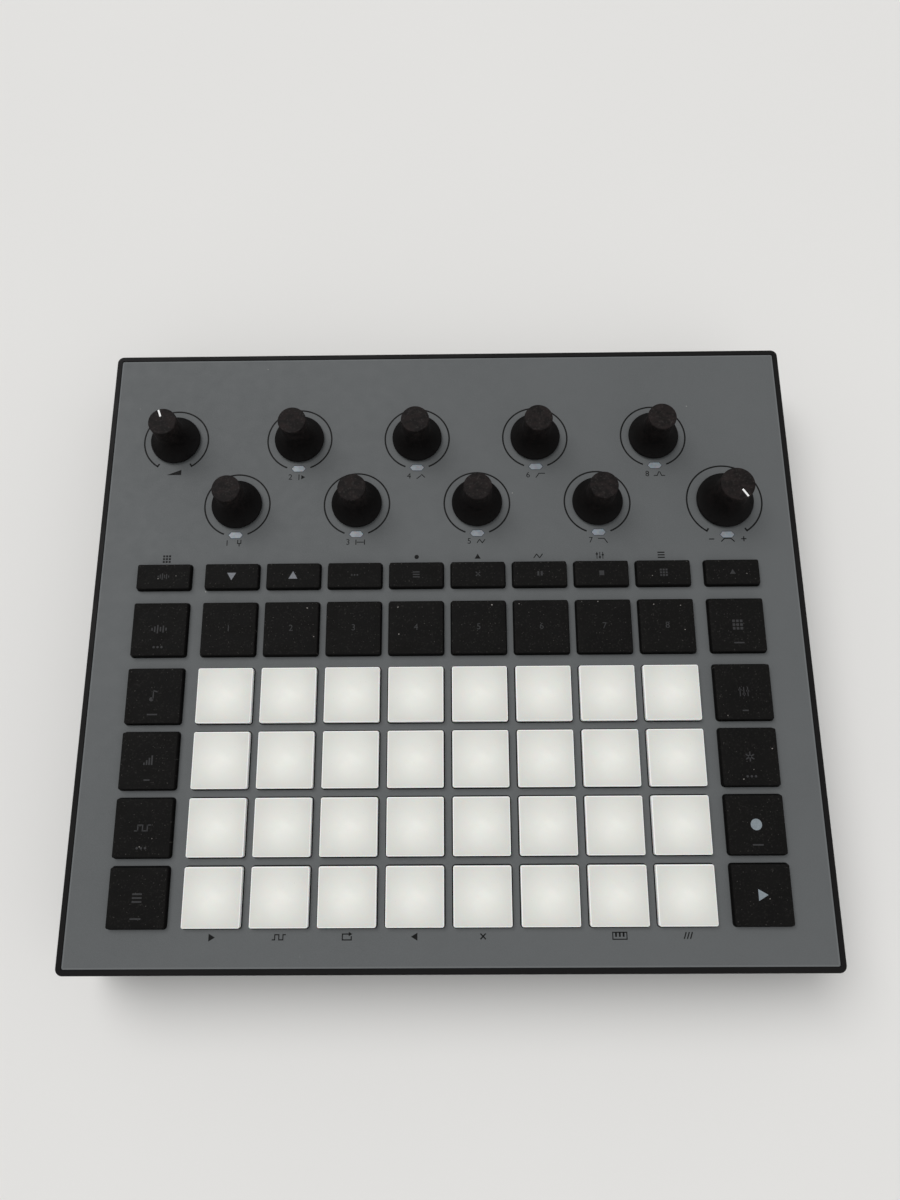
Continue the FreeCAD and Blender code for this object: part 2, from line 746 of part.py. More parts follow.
def draw_knob_profile(sketch, radius, stem, height):
    """Half the knob's section: a thin rim, a hollow flare and a straight stem."""
    rim, flare, full = "knob_rim", "flare_height", height
    run = value(f"({radius}) - ({stem})")
    rise = value(f"{flare} - {rim}")
    bend = (run * run + rise * rise) / (2 * run)
    points = [("0", "0"), (radius, "0"), (radius, rim), (stem, flare), (stem, full), ("0", full)]
    spots = [Vector(value(x), value(y), 0) for x, y in points]
    middle = Vector(value(stem) + bend, value(flare), 0)
    curve = Part.ArcOfCircle(
        Part.Circle(middle, Vector(0, 0, 1), bend),
        math.pi, math.pi + math.asin(rise / bend),
    )
    sides = [Part.LineSegment(spots[n], spots[(n + 1) % len(spots)]) for n in range(len(spots))]
    sides[2] = curve
    under, rim_line, arc, stem_line, top, axis = sketch.addGeometry(sides, False)
    join = Sketcher.Constraint
    fixed = [
        join("Coincident", under, 1, -1, 1),
        join("Coincident", under, 2, rim_line, 1),
        join("Coincident", rim_line, 2, arc, 2),
        join("Tangent", arc, 1, stem_line, 1),
        join("Coincident", stem_line, 2, top, 1),
        join("Coincident", top, 2, axis, 1),
        join("Coincident", axis, 2, under, 1),
        join("Horizontal", under),
        join("Horizontal", top),
        join("Vertical", rim_line),
        join("Vertical", stem_line),
        join("Vertical", axis),
    ]
    constrain(sketch, fixed, [
        ("DistanceX", "radius", radius, (-1, 1, rim_line, 1)),
        ("DistanceY", "rim", rim, (-1, 1, rim_line, 2)),
        ("DistanceX", "stem", stem, (-1, 1, stem_line, 1)),
        ("DistanceY", "flare", flare, (-1, 1, stem_line, 1)),
        ("DistanceY", "full", full, (-1, 1, stem_line, 2)),
    ])


def draw_d(sketch, radius, flat):
    """A circle with one side cut flat, the section of a D-shaped shaft."""
    reach, edge = value(radius), value(flat)
    half = math.sqrt(reach * reach - edge * edge)
    turn = math.atan2(half, -edge)
    circle = Part.Circle(Vector(), Vector(0, 0, 1), reach)
    round_side = Part.ArcOfCircle(circle, -turn, turn)
    flat_side = Part.LineSegment(Vector(-edge, half, 0), Vector(-edge, -half, 0))
    arc, line = sketch.addGeometry([round_side, flat_side], False)
    fixed = [
        Sketcher.Constraint("Coincident", arc, 3, -1, 1),
        Sketcher.Constraint("Coincident", arc, 2, line, 1),
        Sketcher.Constraint("Coincident", line, 2, arc, 1),
        Sketcher.Constraint("Vertical", line),
    ]
    constrain(sketch, fixed, [
        ("Radius", "radius", radius, (arc,)),
        ("DistanceX", "flat", flat, (line, 1, -1, 1)),
    ])


def make_knobs():
    for name, (x, y) in KNOBS.items():
        if name == "filter_knob":
            make_knob(name, x, y, "filter_knob_radius", "filter_stem_radius")
        else:
            make_knob(name, x, y, "knob_radius", "stem_radius")


def make_turning_part(name, width, x, y):
    """An encoder or potentiometer: a square can with a bush for the shaft."""
    height = f"({PLATE_UNDER} - seat_gap - {BOARD_TOP})"
    can = block(f"{name}_can", width, width, height, x, y, BOARD_TOP)
    bush_height = f"({PANEL_TOP} + bush_rise + knob_gap - bush_gap - {BOARD_TOP})"
    bush = rod(f"{name}_bush", BUSH_RADIUS, bush_height, x, y, BOARD_TOP)
    bore_foot = f"{BOARD_TOP} + shaft_foot"
    bore = rod(f"{name}_bore", "shaft_radius + shaft_fit", bush_height, x, y, bore_foot)
    return cut(name, fuse(f"{name}_body", can, bush), bore)


def make_turning_parts():
    encoders, pots = [], []
    for name, (x, y) in KNOBS.items():
        if name.startswith("macro"):
            encoders.append(make_turning_part(f"{name}_encoder", "encoder_width", x, y))
        else:
            pots.append(make_turning_part(f"{name}_pot", "pot_width", x, y))
    keep(group("encoder_set", encoders), "encoder_bodies")
    keep(group("pot_set", pots), "potentiometer_bodies")


def make_boards():
    control = block(
        "control_board_sheet", BOARD_WIDTH, BOARD_DEPTH, "board_thickness",
        "0", BOARD_MIDDLE, BOARD_UNDER,
    )
    keep(control, "control_board")
    middle = f"{JACK_BOARD_BACK} - jack_board_depth / 2"
    jack = block(
        "jack_board_sheet", JACK_BOARD_WIDTH, "jack_board_depth", "board_thickness",
        "0", middle, JACK_BOARD_UNDER,
    )
    header_y = f"{JACK_BOARD_BACK} - jack_board_depth + header_depth / 2 + 1"
    header = block(
        "board_header", "header_width", "header_depth", f"{BOARD_UNDER} - {JACK_BOARD_TOP}",
        HEADER_X, header_y, JACK_BOARD_TOP,
    )
    switch_back = f"{POWER_BACK} - power_travel - seat_gap"
    switch_depth = "2 * power_stem"
    switch_height = f"{SOCKET_AXIS} + power_radius - {JACK_BOARD_TOP}"
    switch = block(
        "power_switch", "2 * power_radius", switch_depth, switch_height,
        "power_offset", f"{switch_back} - {switch_depth} / 2", JACK_BOARD_TOP,
    )
    keep(group("jack_board_set", [jack, header, switch]), "jack_board")


def make_power_button():
    """It slides forward through the rear wall, held by a collar inside."""
    front = f"{REAR_FACE} - {POWER_BACK}"
    shank = rod("power_shank", "power_radius", front, "power_offset", POWER_BACK, SOCKET_AXIS, True)
    collar_back = f"{REAR_INNER} - seat_gap - lip_thickness"
    collar = rod(
        "power_flange", "power_radius + power_collar", "lip_thickness",
        "power_offset", collar_back, SOCKET_AXIS, True,
    )
    return keep(fuse("power_button_cap", shank, collar), "power_button")


def make_battery():
    pack = block("battery", "battery_width", "battery_depth", "battery_height", "0", BATTERY_Y, FLOOR_TOP)
    return keep(pack, "battery_pack")


def socket_body(name, width, depth, top, x):
    """The moulded housing of a socket, which stands on the jack board."""
    height = f"{SOCKET_AXIS} + {top} - {JACK_BOARD_TOP}"
    middle = f"{SOCKET_FRONT} - ({depth}) / 2"
    return block(f"{name}_housing", width, depth, height, x, middle, JACK_BOARD_TOP)


def socket_nose(name, radius, x):
    """The round nose that fills the hole in the rear wall."""
    length = f"{REAR_FACE} - {SOCKET_FRONT}"
    return rod(f"{name}_nose", radius, length, x, SOCKET_FRONT, SOCKET_AXIS, towards_rear=True)


def socket_bore(name, radius, depth, x, z=SOCKET_AXIS):
    """A round hole from the rear face inwards."""
    return rod(name, radius, f"({depth}) + 1", x, f"{REAR_FACE} - ({depth})", z, towards_rear=True)


def make_jack(name, x, kind):
    shell = fuse(
        f"{name}_shell",
        socket_body(name, f"{kind}_width", f"{kind}_depth", f"{kind}_top", x),
        socket_nose(name, f"{kind}_nose_radius", x),
    )
    bore = socket_bore(f"{name}_bore", f"{kind}_bore_radius", f"{kind}_depth", x)
    return cut(name, shell, bore)


def make_din_socket(name, x):
    shell = fuse(
        f"{name}_shell",
        socket_body(name, "din_width", "din_depth", "din_top", x),
        socket_nose(name, "din_nose_radius", x),
    )
    ring = cut(
        f"{name}_ring",
        socket_bore(f"{name}_outer", "din_groove_radius", "din_groove_depth", x),
        socket_bore(f"{name}_inner", "din_core_radius", "din_groove_depth + 1", x),
    )
    pins = []
    for pin in range(DIN_PINS):
        turn = math.pi * pin / (DIN_PINS - 1)
        across = f"{x} + {math.cos(turn):.6f} * din_pin_circle"
        up = f"{SOCKET_AXIS} + {math.sin(turn):.6f} * din_pin_circle"
        pins.append(socket_bore(f"{name}_pin", "din_pin_radius", "din_groove_depth", across, up))
    return cut(name, shell, ring, *pins)


def make_round_sockets():
    din = [make_din_socket(f"din_socket_{n}", x) for n, x in enumerate(DIN_PLACES, start=1)]
    keep(group("din_set", din), "din_sockets")
    line = [make_jack(f"line_jack_{n}", x, "line") for n, x in enumerate(LINE_PLACES, start=1)]
    keep(group("line_set", line), "line_jacks")
    mini = [make_jack(f"mini_jack_{n}", x, "mini") for n, x in enumerate(MINI_PLACES, start=1)]
    keep(group("mini_set", mini), "mini_jacks")


def make_usb_socket():
    """A flat metal shell around a tongue."""
    body = new_body("usb_shell_body", "usb_offset", f"{REAR_FACE} - socket_inset", USB_AXIS)
    corner = "(usb_height / 2 - 0.1)"
    outer = new_sketch(body, role="XZ_Plane")
    draw_rounded(outer, "usb_width", "usb_height", corner)
    pad_up(body, outer, "usb_depth")
    inner = new_sketch(body, role="XZ_Plane")
    draw_rounded(inner, "usb_width - 2 * usb_shell", "usb_height - 2 * usb_shell", f"{corner} - usb_shell")
    cavity = cut_down(body, inner, "usb_depth - usb_shell")
    cavity.Reversed = True
    tongue_length = "(usb_depth - 2 * usb_shell)"
    tongue = block(
        "usb_tongue_blade", "usb_width * 0.7", tongue_length, "usb_tongue", "usb_offset",
        f"{REAR_FACE} - socket_inset - usb_depth + usb_shell + {tongue_length} / 2",
        f"{USB_AXIS} - usb_tongue / 2",
    )
    return keep(group("usb_set", [body, tongue]), "usb_socket")


def make_card_socket():
    middle = f"{REAR_FACE} - socket_inset - card_depth / 2"
    housing = block(
        "card_housing", "card_width", "card_depth", "card_height", "card_offset", middle, JACK_BOARD_TOP,
    )
    slot = block(
        "card_slot", "card_slot_width", "card_depth", "card_slot_height",
        "card_offset", f"{middle} + 1", f"{CARD_AXIS} - card_slot_height / 2",
    )
    return keep(cut("card_shell", housing, slot), "card_socket")


def make_feet():
    feet = []
    for side in (-1, 1):
        for end in (-1, 1):
            x = f"{side} * ({CASE_WIDTH} / 2 - foot_inset)"
            y = f"{end} * ({CASE_DEPTH} / 2 - foot_inset)"
            feet.append(rod("foot", "foot_radius", "foot_height", x, y, "0"))
    return keep(group("foot_set", feet), "rubber_feet")


def make_screws():
    """Long screws that clamp the two shells, driven from underneath."""
    screws = []
    seat = "(foot_height + head_height + head_gap)"
    tip = f"({PLATE_UNDER} - 1)"
    for x, y in screw_places():
        head = rod("screw_head", "head_radius", "head_height", x, y, f"{seat} - head_height")
        shank = rod("screw_shank", "screw_radius", f"{tip} - {seat} + 0.5", x, y, f"{seat} - 0.5")
        drive = document.addObject("Part::Prism", "screw_drive")
        drive.Polygon = HEX_SIDES
        bind(drive, Circumradius="drive_radius", Height="drive_depth + 1")
        place(drive, x, y, f"{seat} - head_height - 1")
        screws.append(cut("screw", fuse("screw_blank", head, shank), drive))
    return keep(group("screw_set", screws), "case_screws")


def check_and_write():
    """Stop on any failed object, then write each sub-part to its own file."""
    for item in document.Objects:
        if any(word in item.State for word in ("Invalid", "Error")):
            raise ValueError(f"{item.Label} failed to build: {item.State}")
    os.makedirs("parts", exist_ok=True)
    for item in nodes:
        if item.Shape.isNull() or not item.Shape.isValid():
            raise ValueError(f"{item.Label} has no sound shape")
    for item in nodes:
        item.Shape.exportStep(f"parts/{item.Label}.step")


make_lower_case()
make_upper_case()
make_face_plate()
make_keys()
make_pad_rows()
make_key_mat()
make_knobs()
make_turning_parts()
make_light_pipes()
make_boards()
make_battery()
make_power_button()
make_round_sockets()
make_usb_socket()
make_card_socket()
make_feet()
make_screws()
document.recompute()
check_and_write()
print(f"{len(nodes)} sub-parts")
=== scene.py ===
"""A desktop groovebox: its rubber keys, silicone pads, knobs, printed panel and lit studio."""

import json
import math

import bmesh
import bpy
from mathutils import Matrix, Vector


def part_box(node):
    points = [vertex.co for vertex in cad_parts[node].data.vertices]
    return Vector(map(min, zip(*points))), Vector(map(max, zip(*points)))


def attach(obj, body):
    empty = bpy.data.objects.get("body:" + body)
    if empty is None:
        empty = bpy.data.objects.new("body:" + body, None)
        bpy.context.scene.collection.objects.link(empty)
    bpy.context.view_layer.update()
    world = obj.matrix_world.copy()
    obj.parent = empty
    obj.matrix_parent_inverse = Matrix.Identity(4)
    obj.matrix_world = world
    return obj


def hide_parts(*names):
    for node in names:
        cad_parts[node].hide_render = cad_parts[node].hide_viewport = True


bl_info = {
    "name": "Groovebox dressing",
    "version": (1, 0, 0),
    "blender": (4, 5, 0),
    "location": "View3D > Sidebar > Groovebox",
    "description": "Dresses a packed groovebox with its keys, pads, knobs, print and studio",
    "category": "Object",
}

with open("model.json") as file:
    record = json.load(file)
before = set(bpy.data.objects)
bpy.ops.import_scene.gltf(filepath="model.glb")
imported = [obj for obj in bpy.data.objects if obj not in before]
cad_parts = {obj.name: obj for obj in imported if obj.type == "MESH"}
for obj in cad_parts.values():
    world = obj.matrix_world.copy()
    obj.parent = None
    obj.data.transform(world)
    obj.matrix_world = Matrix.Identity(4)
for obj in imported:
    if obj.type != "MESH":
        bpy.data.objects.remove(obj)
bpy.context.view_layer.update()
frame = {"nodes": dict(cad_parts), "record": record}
node_box = {name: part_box(name) for name in frame["nodes"]}

MM = 0.001
PANEL_TOP = node_box["face_plate"][1].z
KEY_TOP = node_box["track_key_1"][1].z
FULL_TURN = 2 * math.pi
SMOOTH_BELOW = math.radians(38)
LEAST_RADIUS = 0.02 * MM

# Ink stands a little above its surface and reaches a little into it
INK_RISE = 0.02 * MM
INK_SINK = 0.06 * MM
PRINT_SINK = 0.05 * MM

MACRO_KNOBS = [f"macro_knob_{number}" for number in range(1, 9)]
KNOBS = ["volume_knob"] + MACRO_KNOBS + ["filter_knob"]
TRACK_KEYS = [f"track_key_{number}" for number in range(1, 9)]
MENU_KEYS = [
    "sample_record_key", "page_down_key", "page_up_key", "step_page_key", "tempo_key",
    "clear_key", "duplicate_key", "save_key", "projects_key", "shift_key",
]
SIDE_KEYS = [
    "sample_key", "note_key", "velocity_key", "gate_key", "pattern_settings_key",
    "patterns_key", "mixer_key", "effects_key", "record_key", "play_key",
]
ALL_KEYS = TRACK_KEYS + MENU_KEYS + SIDE_KEYS
PAD_ROWS = [f"pad_row_{number}" for number in range(1, 5)]
PADS_IN_ROW = 8


# Settings that a user may change


class GrooveboxKeySettings(bpy.types.PropertyGroup):
    """Sizes of the pads and keys."""

    lip: bpy.props.FloatProperty(
        name="Lip", description="Width of the lip under the panel", default=0.80 * MM, unit="LENGTH")
    lip_height: bpy.props.FloatProperty(
        name="Lip height", description="Thickness of the lip", default=1.2 * MM, unit="LENGTH")
    corner: bpy.props.FloatProperty(
        name="Corner", description="Corner radius seen from above", default=0.6 * MM, unit="LENGTH")
    key_edge: bpy.props.FloatProperty(
        name="Key edge", description="Rounding of a key's top edge", default=0.28 * MM, unit="LENGTH")
    pad_edge: bpy.props.FloatProperty(
        name="Pad edge", description="Rounding of a pad's top edge", default=0.24 * MM, unit="LENGTH")
    shadow: bpy.props.FloatProperty(
        name="Shadow", description="Depth in its hole at which a key turns dark", default=0.15 * MM,
        unit="LENGTH")
    pad_crown: bpy.props.FloatProperty(
        name="Pad crown", description="How far a pad's edge falls below its middle", default=0.08 * MM,
        unit="LENGTH")


class GrooveboxKnobSettings(bpy.types.PropertyGroup):
    """Sizes of the knobs."""

    stem: bpy.props.FloatProperty(
        name="Stem", description="Radius of a standard knob's stem", default=4.8 * MM, unit="LENGTH")
    filter_stem: bpy.props.FloatProperty(
        name="Filter stem", description="Radius of the filter knob's stem", default=5.7 * MM,
        unit="LENGTH")
    gap: bpy.props.FloatProperty(
        name="Gap", description="Space between knob and panel", default=0.5 * MM, unit="LENGTH")
    rim: bpy.props.FloatProperty(
        name="Rim", description="Height of the upright rim", default=0.9 * MM, unit="LENGTH")
    flare: bpy.props.FloatProperty(
        name="Flare", description="Height at which the flare meets the stem", default=8.0 * MM,
        unit="LENGTH")
    edge: bpy.props.FloatProperty(
        name="Edge", description="Rounding of the cap's edge", default=0.4 * MM, unit="LENGTH")
    volume_pointer: bpy.props.FloatProperty(
        name="Volume pointer", description="Turn of the volume pointer, anticlockwise from the rear",
        default=math.radians(20), subtype="ANGLE")
    filter_pointer: bpy.props.FloatProperty(
        name="Filter pointer", description="Turn of the filter pointer, anticlockwise from the rear",
        default=math.radians(-146), subtype="ANGLE")


class GrooveboxPrintSettings(bpy.types.PropertyGroup):
    """Sizes of what is printed on the panel, and of the painted shadow round each opening."""

    ring: bpy.props.FloatProperty(
        name="Ring", description="Radius of the ring round a standard knob", default=11.34 * MM,
        unit="LENGTH")
    filter_ring: bpy.props.FloatProperty(
        name="Filter ring", description="Radius of the ring round the filter knob", default=12.94 * MM,
        unit="LENGTH")
    line: bpy.props.FloatProperty(
        name="Line", description="Width of a printed line", default=0.55 * MM, unit="LENGTH")
    ink: bpy.props.FloatProperty(
        name="Ink", description="How far the ink stands above the panel", default=INK_RISE, unit="LENGTH")
    opening_gap: bpy.props.FloatProperty(
        name="Opening gap", description="From a key's lip inwards to the edge of its opening",
        default=0.59 * MM, unit="LENGTH")
    # The black ring round each opening is a painted shadow of the gap round its key
    opening_edge: bpy.props.FloatProperty(
        name="Opening edge", description="Width of the black edge round each opening", default=0.2 * MM,
        unit="LENGTH")
    macro_opening: bpy.props.FloatProperty(
        name="Macro opening", description="Half of the gap in a macro knob's ring",
        default=math.radians(21), subtype="ANGLE")
    pot_opening: bpy.props.FloatProperty(
        name="Pot opening", description="Half of the gap in the volume and filter rings",
        default=math.radians(32), subtype="ANGLE")


class GrooveboxColourSettings(bpy.types.PropertyGroup):
    """The colours of the visible finishes."""

    panel: bpy.props.FloatVectorProperty(
        name="Panel", description="Matte grey paint", default=(0.100, 0.105, 0.107),
        size=3, subtype="COLOR")
    case: bpy.props.FloatVectorProperty(
        name="Case", description="Black moulded plastic", default=(0.0042, 0.0038, 0.0038),
        size=3, subtype="COLOR")
    key: bpy.props.FloatVectorProperty(
        name="Key", description="Black rubber", default=(0.0036, 0.0034, 0.0032), size=3, subtype="COLOR")
    pad: bpy.props.FloatVectorProperty(
        name="Pad", description="White silicone", default=(0.765, 0.765, 0.718), size=3, subtype="COLOR")
    knob: bpy.props.FloatVectorProperty(
        name="Knob", description="Soft-touch black", default=(0.0045, 0.0034, 0.0033),
        size=3, subtype="COLOR")
    ink: bpy.props.FloatVectorProperty(
        name="Ink", description="Black print", default=(0.0035, 0.0035, 0.0035), size=3, subtype="COLOR")
    window: bpy.props.FloatVectorProperty(
        name="Window", description="Frosted light window", default=(0.243, 0.253, 0.280),
        size=3, subtype="COLOR")


class GrooveboxStageSettings(bpy.types.PropertyGroup):
    """Camera, floor and lamps."""

    camera_place: bpy.props.FloatVectorProperty(
        name="Camera place", description="Where the camera stands", default=(0.00371, -0.06089, 0.30773),
        size=3, subtype="TRANSLATION")
    camera_forward: bpy.props.FloatVectorProperty(
        name="Camera direction", description="Where the camera looks", default=(-0.00978, 0.25394, -0.96717),
        size=3, subtype="DIRECTION")
    camera_up: bpy.props.FloatVectorProperty(
        name="Camera up", description="The top of the picture", default=(0.00830, 0.96720, 0.25387),
        size=3, subtype="DIRECTION")
    focal_length: bpy.props.FloatProperty(
        name="Focal length", description="In millimetres on a 36 mm sensor", default=25.61)
    floor: bpy.props.FloatVectorProperty(
        name="Floor", description="Plain pale floor", default=(0.80, 0.79, 0.77), size=3, subtype="COLOR")
    key_light: bpy.props.FloatProperty(
        name="Key light", description="Strength of the main soft light", default=1.75)
    fill_light: bpy.props.FloatProperty(
        name="Fill light", description="Strength of the wide fill light", default=0.42)
    sky: bpy.props.FloatProperty(
        name="Sky", description="Strength of the light from all round", default=0.38)


# Meshes


def rounded_outline(width, depth, radius, steps=5):
    """Points round a rectangle with rounded corners, anticlockwise."""
    radius = max(radius, LEAST_RADIUS)
    points = []
    for turn, (side, end) in enumerate(((1, 1), (-1, 1), (-1, -1), (1, -1))):
        for step in range(steps + 1):
            angle = math.pi / 2 * (turn + step / steps)
            x = side * (width / 2 - radius) + radius * math.cos(angle)
            y = end * (depth / 2 - radius) + radius * math.sin(angle)
            points.append((x, y))
    return points


def bridge_rings(mesh, rings, close_start=True, close_end=True):
    """Faces between rings of points that all have the same count."""
    loops = [[mesh.verts.new(point) for point in ring] for ring in rings]
    for lower, upper in zip(loops, loops[1:]):
        for index in range(len(lower)):
            after = (index + 1) % len(lower)
            mesh.faces.new((lower[index], lower[after], upper[after], upper[index]))
    if close_start:
        mesh.faces.new(list(reversed(loops[0])))
    if close_end:
        mesh.faces.new(loops[-1])


def add_soft_block(mesh, x, y, width, depth, corner, levels):
    """A rounded block from rings; each level is how far the ring is drawn in, and its height."""
    rings = []
    for inset, height in levels:
        outline = rounded_outline(width - 2 * inset, depth - 2 * inset, corner - inset)
        rings.append([(x + px, y + py, height) for px, py in outline])
    bridge_rings(mesh, rings)


def rounded_edge(edge, top, steps=4):
    """Levels that round a top edge."""
    turns = [math.pi / 2 * step / steps for step in range(steps + 1)]
    return [(edge * (1 - math.cos(turn)), top - edge + edge * math.sin(turn)) for turn in turns]


def add_turned(mesh, profile, x, y, steps=96):
    """A solid of revolution about an upright axis; its profile runs from axis to axis."""
    loops = []
    for radius, height in profile:
        if radius == 0:
            loops.append([mesh.verts.new((x, y, height))])
            continue
        ring = []
        for step in range(steps):
            angle = FULL_TURN * step / steps
            point = (x + radius * math.cos(angle), y + radius * math.sin(angle), height)
            ring.append(mesh.verts.new(point))
        loops.append(ring)
    for first, second in zip(loops, loops[1:]):
        for step in range(steps):
            after = (step + 1) % steps
            if len(first) == 1:
                mesh.faces.new((first[0], second[after], second[step]))
            elif len(second) == 1:
                mesh.faces.new((first[step], first[after], second[0]))
            else:
                mesh.faces.new((first[step], first[after], second[after], second[step]))


def add_prism(mesh, outline, low, high):
    """A flat solid from an anticlockwise outline."""
    rings = [[(x, y, height) for x, y in outline] for height in (low, high)]
    bridge_rings(mesh, rings)


def add_band(mesh, x, y, radius, width, start, end, low, high, steps=64):
    """Part of a flat ring, from one angle to another."""
    sections = []
    for step in range(steps + 1):
        angle = start + (end - start) * step / steps
        across = Vector((math.cos(angle), math.sin(angle), 0))
        inner = Vector((x, y, 0)) + across * (radius - width / 2)
        outer = Vector((x, y, 0)) + across * (radius + width / 2)
        corners = ((inner, low), (outer, low), (outer, high), (inner, high))
        sections.append([mesh.verts.new((spot.x, spot.y, height)) for spot, height in corners])
    for first, second in zip(sections, sections[1:]):
        for side in range(4):
            after = (side + 1) % 4
            mesh.faces.new((first[side], second[side], second[after], first[after]))
    mesh.faces.new(sections[0])
    mesh.faces.new(list(reversed(sections[-1])))


def add_object(name, data):
    """A new object in the scene."""
    item = bpy.data.objects.new(name, data)
    bpy.context.scene.collection.objects.link(item)
    return item


def new_piece(name, mesh, finish, body="root", stands_for=(), under=None):
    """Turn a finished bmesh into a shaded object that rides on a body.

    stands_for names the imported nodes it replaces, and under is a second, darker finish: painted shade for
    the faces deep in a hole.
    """
    bmesh.ops.recalc_face_normals(mesh, faces=mesh.faces[:])
    data = bpy.data.meshes.new(name)
    mesh.to_mesh(data)
    mesh.free()
    data.shade_smooth()
    data.set_sharp_from_angle(angle=SMOOTH_BELOW)
    piece = add_object(name, data)
    data.materials.append(finish)
    if under:
        data.materials.append(under)
    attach(piece, body)
    if stands_for:
        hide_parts(*stands_for)
    return piece


def middle_of(node):
    """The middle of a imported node, seen from above."""
    low, high = node_box[node]
    return (low.x + high.x) / 2, (low.y + high.y) / 2


def pad_boxes(row):
    """The box of each pad in a row of equal pads."""
    low, high = node_box[row]
    size = high.y - low.y
    pitch = (high.x - low.x - size) / (PADS_IN_ROW - 1)
    boxes = []
    for column in range(PADS_IN_ROW):
        left = low.x + column * pitch
        boxes.append((Vector((left, low.y, low.z)), Vector((left + size, high.y, high.z))))
    return boxes


CROWN_STEPS = (0.3, 0.6, 0.9)


def add_key(mesh, box, sizes, edge, crown=0.0):
    """A cap with its hidden lip, inside a box that includes the lip."""
    low, high = box
    width = high.x - low.x - 2 * sizes.lip
    depth = high.y - low.y - 2 * sizes.lip
    lip_top = low.z + sizes.lip_height
    levels = [(-sizes.lip, low.z), (-sizes.lip, lip_top), (0, lip_top), (0, PANEL_TOP - sizes.shadow)]
    levels += rounded_edge(edge, high.z - crown)
    reach = min(width, depth) / 2
    for share in CROWN_STEPS:
        inset = edge + share * (reach - edge)
        levels.append((inset, high.z - crown * (1 - share) ** 2))
    add_soft_block(mesh, (low.x + high.x) / 2, (low.y + high.y) / 2, width, depth, sizes.corner, levels)
    # Painted shade: faces deep in the hole take the second, darker finish
    for face in mesh.faces:
        if face.calc_center_median().z < PANEL_TOP - sizes.shadow:
            face.material_index = 1


# Finishes


class Finish:
    """A node material under construction, with its pattern fixed to the object's own space."""

    def __init__(self, name, space="Object"):
        self.material = bpy.data.materials.new(name)
        self.material.use_nodes = True
        self.tree = self.material.node_tree
        self.shader = self.tree.nodes["Principled BSDF"]
        self.space = self.add("ShaderNodeTexCoord").outputs[space]

    def add(self, kind, **settings):
        """A new node with its settings."""
        node = self.tree.nodes.new(kind)
        for name, setting in settings.items():
            setattr(node, name, setting)
        return node

    def link(self, output, socket):
        self.tree.links.new(output, socket)

    def noise(self, scale, detail=2.0, stretch=(1, 1, 1)):
        """A cloudy pattern; its scale is in spots per metre."""
        mapping = self.add("ShaderNodeMapping")
        mapping.inputs["Scale"].default_value = stretch
        self.link(self.space, mapping.inputs["Vector"])
        noise = self.add("ShaderNodeTexNoise")
        noise.inputs["Scale"].default_value = scale
        noise.inputs["Detail"].default_value = detail
        self.link(mapping.outputs["Vector"], noise.inputs["Vector"])
        return noise.outputs["Fac"]

    def axes(self):
        """The three numbers of a place in the pattern's space."""
        apart = self.add("ShaderNodeSeparateXYZ")
        self.link(self.space, apart.inputs["Vector"])
        return apart.outputs

    def spread(self, output, low, high, to_low, to_high, shape="LINEAR"):
        """Stretch a pattern's range over another one, and hold it within that."""
        node = self.add("ShaderNodeMapRange", interpolation_type=shape)
        for name, number in zip(("From Min", "From Max", "To Min", "To Max"), (low, high, to_low, to_high)):
            node.inputs[name].default_value = number
        self.link(output, node.inputs["Value"])
        return node.outputs["Result"]

    def specks(self, scale, size, share, dimensions="3D"):
        """Scattered spots: one in some of the cells, each of a size in parts of its cell."""
        wobble = self.add("ShaderNodeTexNoise")
        wobble.inputs["Scale"].default_value = scale * 6
        self.link(self.space, wobble.inputs["Vector"])
        shift = self.add("ShaderNodeVectorMath", operation="MULTIPLY_ADD")
        self.link(wobble.outputs["Color"], shift.inputs[0])
        shift.inputs[1].default_value = (0.12 / scale,) * 3
        self.link(self.space, shift.inputs[2])
        cells = self.add("ShaderNodeTexVoronoi", voronoi_dimensions=dimensions)
        cells.inputs["Scale"].default_value = scale
        self.link(shift.outputs["Vector"], cells.inputs["Vector"])
        spot = self.spread(cells.outputs["Distance"], size, size * 0.5, 0, 1)
        chosen = self.spread(cells.outputs["Color"], share + 0.03, share, 0, 1)
        return self.combine(spot, chosen, "MULTIPLY")

    def blend(self, factor, first, second):
        """A colour between two, each a socket or three numbers."""
        node = self.add("ShaderNodeMix", data_type="RGBA")
        self.link(factor, node.inputs["Factor"])
        for name, colour in (("A", first), ("B", second)):
            socket = next(s for s in node.inputs if s.name == name and s.type == "RGBA")
            if isinstance(colour, bpy.types.NodeSocket):
                self.link(colour, socket)
            else:
                socket.default_value = (*colour, 1)
        return next(s for s in node.outputs if s.type == "RGBA")

    def combine(self, first, second, operation="ADD"):
        """Arithmetic on two terms, each a socket or a number."""
        node = self.add("ShaderNodeMath", operation=operation)
        for index, term in enumerate((first, second)):
            if isinstance(term, bpy.types.NodeSocket):
                self.link(term, node.inputs[index])
            else:
                node.inputs[index].default_value = term
        return node.outputs["Value"]

    def bump(self, height, strength, distance):
        node = self.add("ShaderNodeBump")
        node.inputs["Strength"].default_value = strength
        node.inputs["Distance"].default_value = distance
        self.link(height, node.inputs["Height"])
        self.link(node.outputs["Normal"], self.shader.inputs["Normal"])

    def colour(self, output):
        self.link(output, self.shader.inputs["Base Color"])

    def roughness(self, output, low, high):
        """Let the middle of a pattern's range drive the roughness."""
        self.link(self.spread(output, 0.3, 0.7, low, high), self.shader.inputs["Roughness"])

    def set(self, **numbers):
        for name, number in numbers.items():
            self.shader.inputs[name.replace("_", " ")].default_value = number


def shade(colour, factor):
    """The same colour, darker or lighter."""
    return tuple(min(1.0, channel * factor) for channel in colour)
